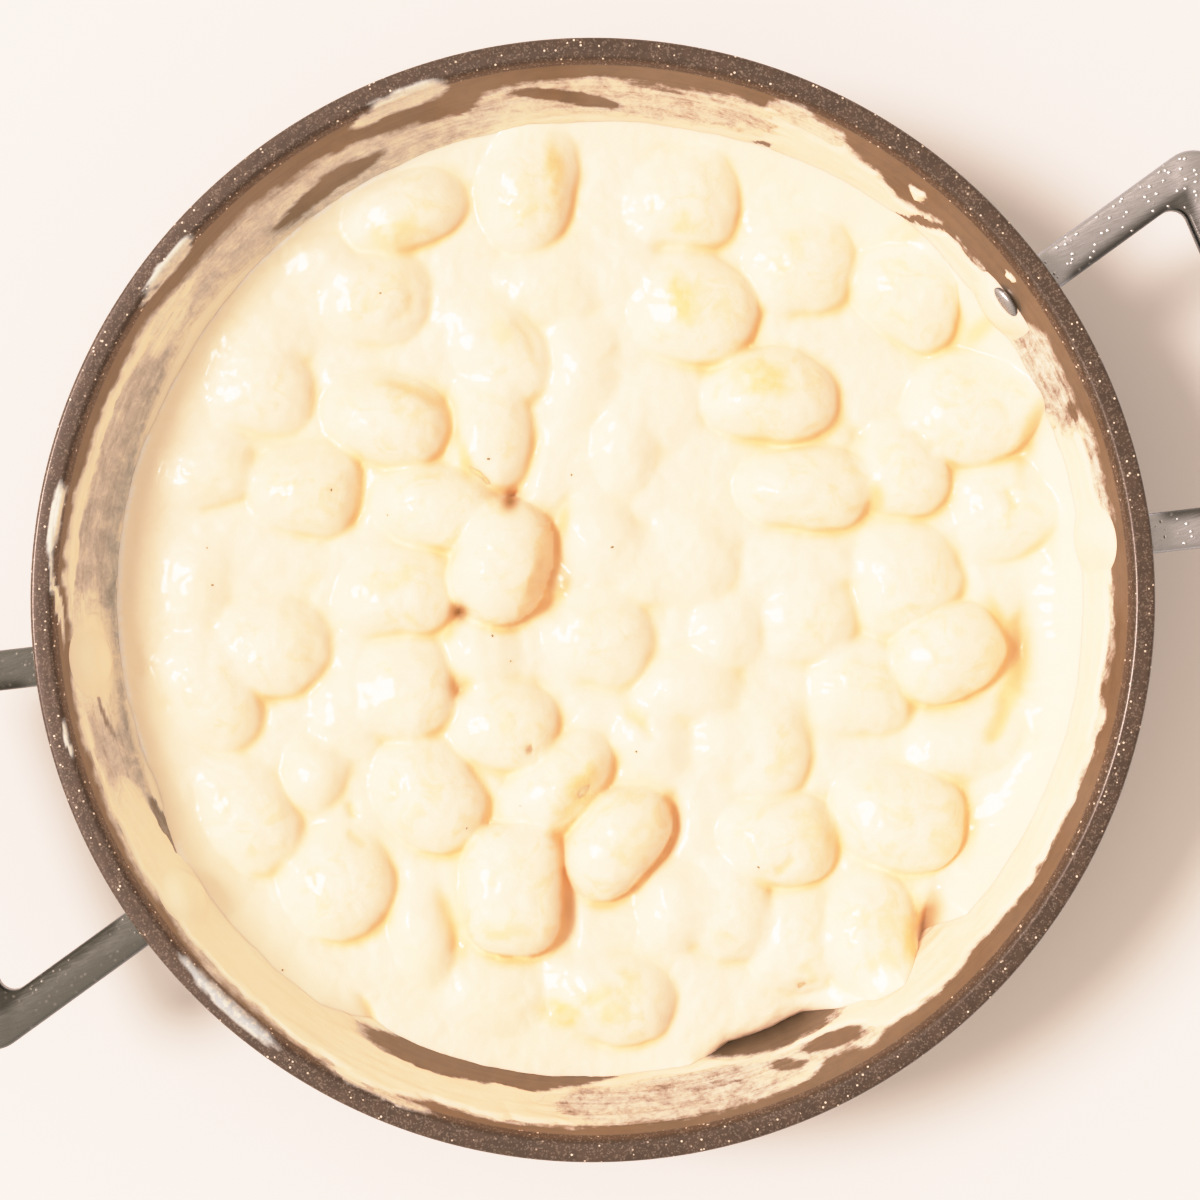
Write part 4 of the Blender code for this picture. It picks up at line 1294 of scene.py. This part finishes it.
def creamSkin(name, colour, frothAndHighlightColour, warmer):
    material, tree, shader = newMaterial(
        name, Subsurface_Weight=1.0, Subsurface_Scale=0.0017, Subsurface_Radius=(1.0, 0.7, 0.42),
        IOR=1.4, Coat_Weight=0.3, Coat_Roughness=0.07)
    shader.subsurface_method = "BURLEY"
    place = objectPlace(tree)
    paintedShade = ranged(tree, attributeOf(tree, "paintedShade"), 0.06, 0.86, 0.0, 0.84)
    warm = tuple(c * f for c, f in zip(colour, warmer))
    cloudy = noiseOf(tree, place, 0.018, 4, 0.55)
    base = mixed(tree, ranged(tree, cloudy, 0.45, 0.75, 0.0, 0.6), (*colour, 1), (*warm, 1))
    # painted shade: a shaded copy of the colour near the left wall
    base = mixed(tree, attributeOf(tree, "left"), base, (*sauce["shadedColour"], 1))
    # on top of each piece the sauce is thin in blotches and brushed streaks
    top = attributeOf(tree, "top")
    blotches = ranged(tree, noiseOf(tree, place, 0.0075, 6, 0.6, 0.8), 0.46, 0.68)
    thin = sums(tree, "MULTIPLY", sums(tree, "MULTIPLY", top, blotches), 0.45)
    base = mixed(tree, thin, base, (*sauce["doughColour"], 1))
    # painted shade in the hollows and creases
    base = mixed(tree, paintedShade, base, (*sauce["paintedShadeColour"], 1))
    base = mixed(tree, attributeOf(tree, "bare"), base, (*sauce["doughColour"], 1))
    base = frothedAndHighlighted(tree, place, base, frothAndHighlightColour)
    # painted shade in the gaps, where subsurface scattering is also turned off
    gapShade = attributeOf(tree, "gapShade")
    base = mixed(tree, gapShade, base, (*sauce["gapShadeColour"], 1))
    tree.links.new(base, shader.inputs["Base Color"])
    tree.links.new(sums(tree, "SUBTRACT", 1.0, gapShade), shader.inputs["Subsurface Weight"])
    uneven = ranged(tree, noiseOf(tree, place, 0.006, 3), 0.3, 0.7, 0.38, 0.55)
    tree.links.new(uneven, shader.inputs["Roughness"])
    wrinkles = noiseOf(tree, place, 0.0065, 4, 0.5, 0.35)
    fine = noiseOf(tree, place, 0.0014, 3, 0.5)
    relief = sums(tree, "ADD", wrinkles, sums(tree, "MULTIPLY", fine, 0.1))
    deeper = ranged(tree, top, 0.0, 1.0, 0.3, 0.45)
    bump = bumped(tree, shader, relief, 0.4, 0.0012)
    tree.links.new(deeper, bump.inputs["Strength"])
    return material


surface = makeSauce()
print("sauce poured")


# The gnocchi themselves, a little under the skin of sauce that coats them

def doughSkin():
    material, tree, shader = newMaterial(
        "doughSkin", Subsurface_Weight=1.0, Subsurface_Scale=0.0025, Subsurface_Radius=(1.0, 0.6, 0.3),
        Roughness=0.42)
    shader.subsurface_method = "BURLEY"
    place = objectPlace(tree)
    pale = tuple(min(1, c * f) for c, f in zip(sauce["doughColour"], (1.0, 1.08, 1.35)))
    spots = ranged(tree, noiseOf(tree, place, 0.004, 5, 0.6), 0.35, 0.7)
    tree.links.new(mixed(tree, spots, (*sauce["doughColour"], 1), (*pale, 1)), shader.inputs["Base Color"])
    bumped(tree, shader, noiseOf(tree, place, 0.0012, 5, 0.6), 0.5, 0.0004)
    return material


def fuller(value, roundness):
    return math.copysign(abs(value) ** (2 / roundness), value)


def makeGnocchi():
    heap = bmesh.new()
    mesh = bpy.data.meshes.new("gnocco")
    for row in gnocchi["raised"] + gnocchi["cut"] + gnocchi["covered"]:
        x, y, length, width, turn, rise = row[:6]
        roundness = row[6] if len(row) == 7 else gnocchi["roundness"]
        taper, bend, lean = shapeOf(row)
        inset = gnocchi["inset"] + (gnocchi["gutter"] if row in gnocchi["covered"] else 0)
        half = Vector((
            fullHalf(length, rise, roundness), fullHalf(width, rise, roundness), gnocchi["halfHeight"],
        )) - Vector((1, 1, 1)) * inset
        shape = bmesh.new()
        bmesh.ops.create_uvsphere(shape, u_segments=28, v_segments=20, radius=1)
        middle = Vector((x, y, sauce["level"] + rise - gnocchi["halfHeight"]))
        rotation = Matrix.Rotation(math.radians(turn), 3, "Z")
        plan = gnocchi["planRoundness"] if roundness < 3 else roundness
        for vert in shape.verts:
            spread = fuller(vert.co.to_2d().length, roundness)
            around = math.atan2(vert.co.y, vert.co.x)
            point = Vector((
                half.x * spread * fuller(math.cos(around), plan),
                half.y * spread * fuller(math.sin(around), plan),
                half.z * fuller(vert.co.z, roundness),
            ))
            if len(row) == 8:
                point.y = max(point.y, -half.y * row[6])
            farAlong = point.x / half.x
            point.y = point.y * (1 + taper * farAlong) + bend * half.y * (farAlong**2 - 0.3)
            point = rotation @ point
            down = point.x * sauce["runOffAndShadeSide"][0] + point.y * sauce["runOffAndShadeSide"][1]
            point.z += lean * max(-width, min(width, down))
            point += middle
            spot = np.array([point.x]), np.array([point.y])
            point.x -= lumpOf(*spot, 1.0)[0]
            point.y -= lumpOf(*spot, 2.0)[0]
            flat = point.to_2d()
            limit = innerRadius(point.z) - 1
            if flat.length > limit:
                point.x, point.y = flat.normalized() * limit
            point.z = max(point.z, pan["floor"] + 0.3)
            vert.co = Matrix.Rotation(foodTurn, 3, "Z") @ point * mm
        bmesh.ops.recalc_face_normals(shape, faces=shape.faces)
        shape.to_mesh(mesh)
        shape.free()
        heap.from_mesh(mesh)
    newPiece("gnocchiPieces", heap, doughSkin(), ["gnocchi"])


makeGnocchi()
print("gnocchi laid in")


# Ground pepper on the sauce, with x and y of each fleck in mm

pepper = {
    "size": 0.4,
    "dark": (0.11, 0.1, 0.05),
    "pale": (0.36, 0.32, 0.18),
    "places": (
        (-27.1, 36.5), (-5.6, 32.6), (5, 13.7), (-26.1, -9.3), (-21.4, -15.8), (11.2, -39.3), (-32.8, -59),
        (42.8, -69.1), (-11.8, -68), (-18.8, -53.3), (-80.1, -95.5), (-53.2, 22), (-67.7, 28.5), (-98.8, 3.9),
        (-100.3, 13.5), (-55, 79.4), (119.1, -27.7), (-16.4, -38.8),
    ),
}


def pepperSkin():
    material, tree, shader = newMaterial("pepperSkin", Roughness=0.6)
    grain = noiseOf(tree, objectPlace(tree), 0.0003, 3, 0.6)
    colour = mixed(tree, ranged(tree, grain, 0.4, 0.6), (*pepper["dark"], 1), (*pepper["pale"], 1))
    tree.links.new(colour, shader.inputs["Base Color"])
    bumped(tree, shader, grain, 0.5, 0.0001)
    return material


def scatterPepper():
    x, y, height = surface
    flecks = bmesh.new()
    for i, (x0, y0) in enumerate(pepper["places"]):
        nearest = np.argmin(np.hypot(x - x0, y - y0))
        pick = noise.noise((x0, y0, 3.3))
        size = pepper["size"] * (0.8 + 0.6 * pick)
        made = bmesh.ops.create_icosphere(flecks, subdivisions=2, radius=size * mm)["verts"]
        for vert in made:
            vert.co *= 1 + 0.3 * noise.noise(vert.co / mm * 2 + Vector((i, 0, 0)))
        bmesh.ops.scale(flecks, verts=made, vec=(1.2, 0.85 - 0.4 * pick, 0.5))
        place = Matrix.Rotation(foodTurn, 4, "Z") @ Matrix.Translation(Vector((x0, y0, height[nearest])) * mm)
        bmesh.ops.transform(flecks, matrix=place @ Matrix.Rotation(i * 1.7, 4, "Z"), verts=made)
    newPiece("pepperFlecks", flecks, pepperSkin())


scatterPepper()
print("pepper scattered")


# Sauce on the wall and over the rim: a thin shell that dips into the metal where the pan is bare

def makeWallSauce():
    low, high = film["from"], pan["wallTop"] - 0.4
    steps, backing = film["heightSteps"], film["backing"]
    front = []
    for i in range(steps + 1):
        height = low + (high - low) * i / steps
        front.append((innerRadius(height), height))
    wallTop, top = pan["wallTopRadius"], pan["height"]
    # over the step
    front += [
        (wallTop + 0.1, top - 2),
        (wallTop + 0.5, top - 1.1),
        (wallTop + 1.1, top - 0.5),
        (wallTop + 1.7, top - 0.15),
    ]
    # back down within the metal
    back = [
        (wallTop + 2 * backing, top - 1),
        (innerRadius(high) + backing, high - 0.6),
        (innerRadius(low) + backing, low),
    ]
    shape = turnedShape(front + back, film["roundSteps"], closed=True)
    places = np.array([vert.co[:] for vert in shape.verts]) / mm
    x, y, z = places.T
    radius = np.hypot(x, y)
    around = (np.degrees(np.arctan2(y, x)) - math.degrees(foodTurn)) % 360
    onStep = (z > high + 0.1) & (radius < wallTop + 2)
    onFront = (radius < innerRadius(z) + 0.5) & (z < high + 0.1) | onStep
    along = heightAlong(radius, z)
    cover = filmCover(around, along)
    streaks = wallNoise(around, z, 30, 4, 31.0, 2)
    speckle = wallNoise(around, z, 12, 2.4, 33.0, 3)
    body = cover + 0.34 * speckle * (1.15 - cover) - 0.74
    thick = film["thick"] * np.clip(body * 2.5, -0.6, 1) * (1 + 0.2 * streaks)
    smear = np.interp(around, [row[0] for row in film["smear"]], [row[1] for row in film["smear"]])
    lowEdge = eased(-z, -52, -40) * smear * eased(cover, 0.8, 1.0)
    thick += film["thickest"] * lowEdge
    # it runs out towards the edge of the sauce in the pan
    meeting = sauce["level"] + climbAt(around)
    thick *= 1 - 0.85 * (1 - shadedSideShare(around)) * eased(meeting - z, -4.5, 0.5)
    sunk = film["underCover"]
    for angle, upTo in film["rivets"]:
        aside = turnFrom(around, angle) * math.radians(innerRadius(handle["rivetHeight"]))
        away = np.hypot(aside, z - handle["rivetHeight"] - film["rivetLean"]) / film["rivetReach"]
        below = eased(upTo - z + 0.5 * streaks, -0.4, 1.0)
        thick = smoothMax(thick, (film["overRivet"] + sunk) * below * np.exp(-(away**3)) - sunk, 0.6)
    inward = np.where(onStep, np.clip(1 - (radius - wallTop) * 0.35, 0.4, 1), 1)
    rise = np.where(onStep, 0.5, 0)
    share = np.where(onFront, thick * inward / radius, 0)
    x -= x * share
    y -= y * share
    z = np.minimum(z + np.where(onFront, thick * rise, 0), top - 0.02)
    for vert, place in zip(shape.verts, np.column_stack((x, y, z)) * mm):
        vert.co = place
    material = creamSkin("wallCream", sauce["wallColour"], pan["froth"], sauce["wallWarmer"])
    piece = newPiece("wallSauce", shape, material, ["sauce_film", "sauce_smear"])
    setAttribute(piece.data, "frothAndHighlight", frothOn(around, along))
    setAttribute(piece.data, "left", shadedSideShare(around))


makeWallSauce()
print("wall sauce smeared")
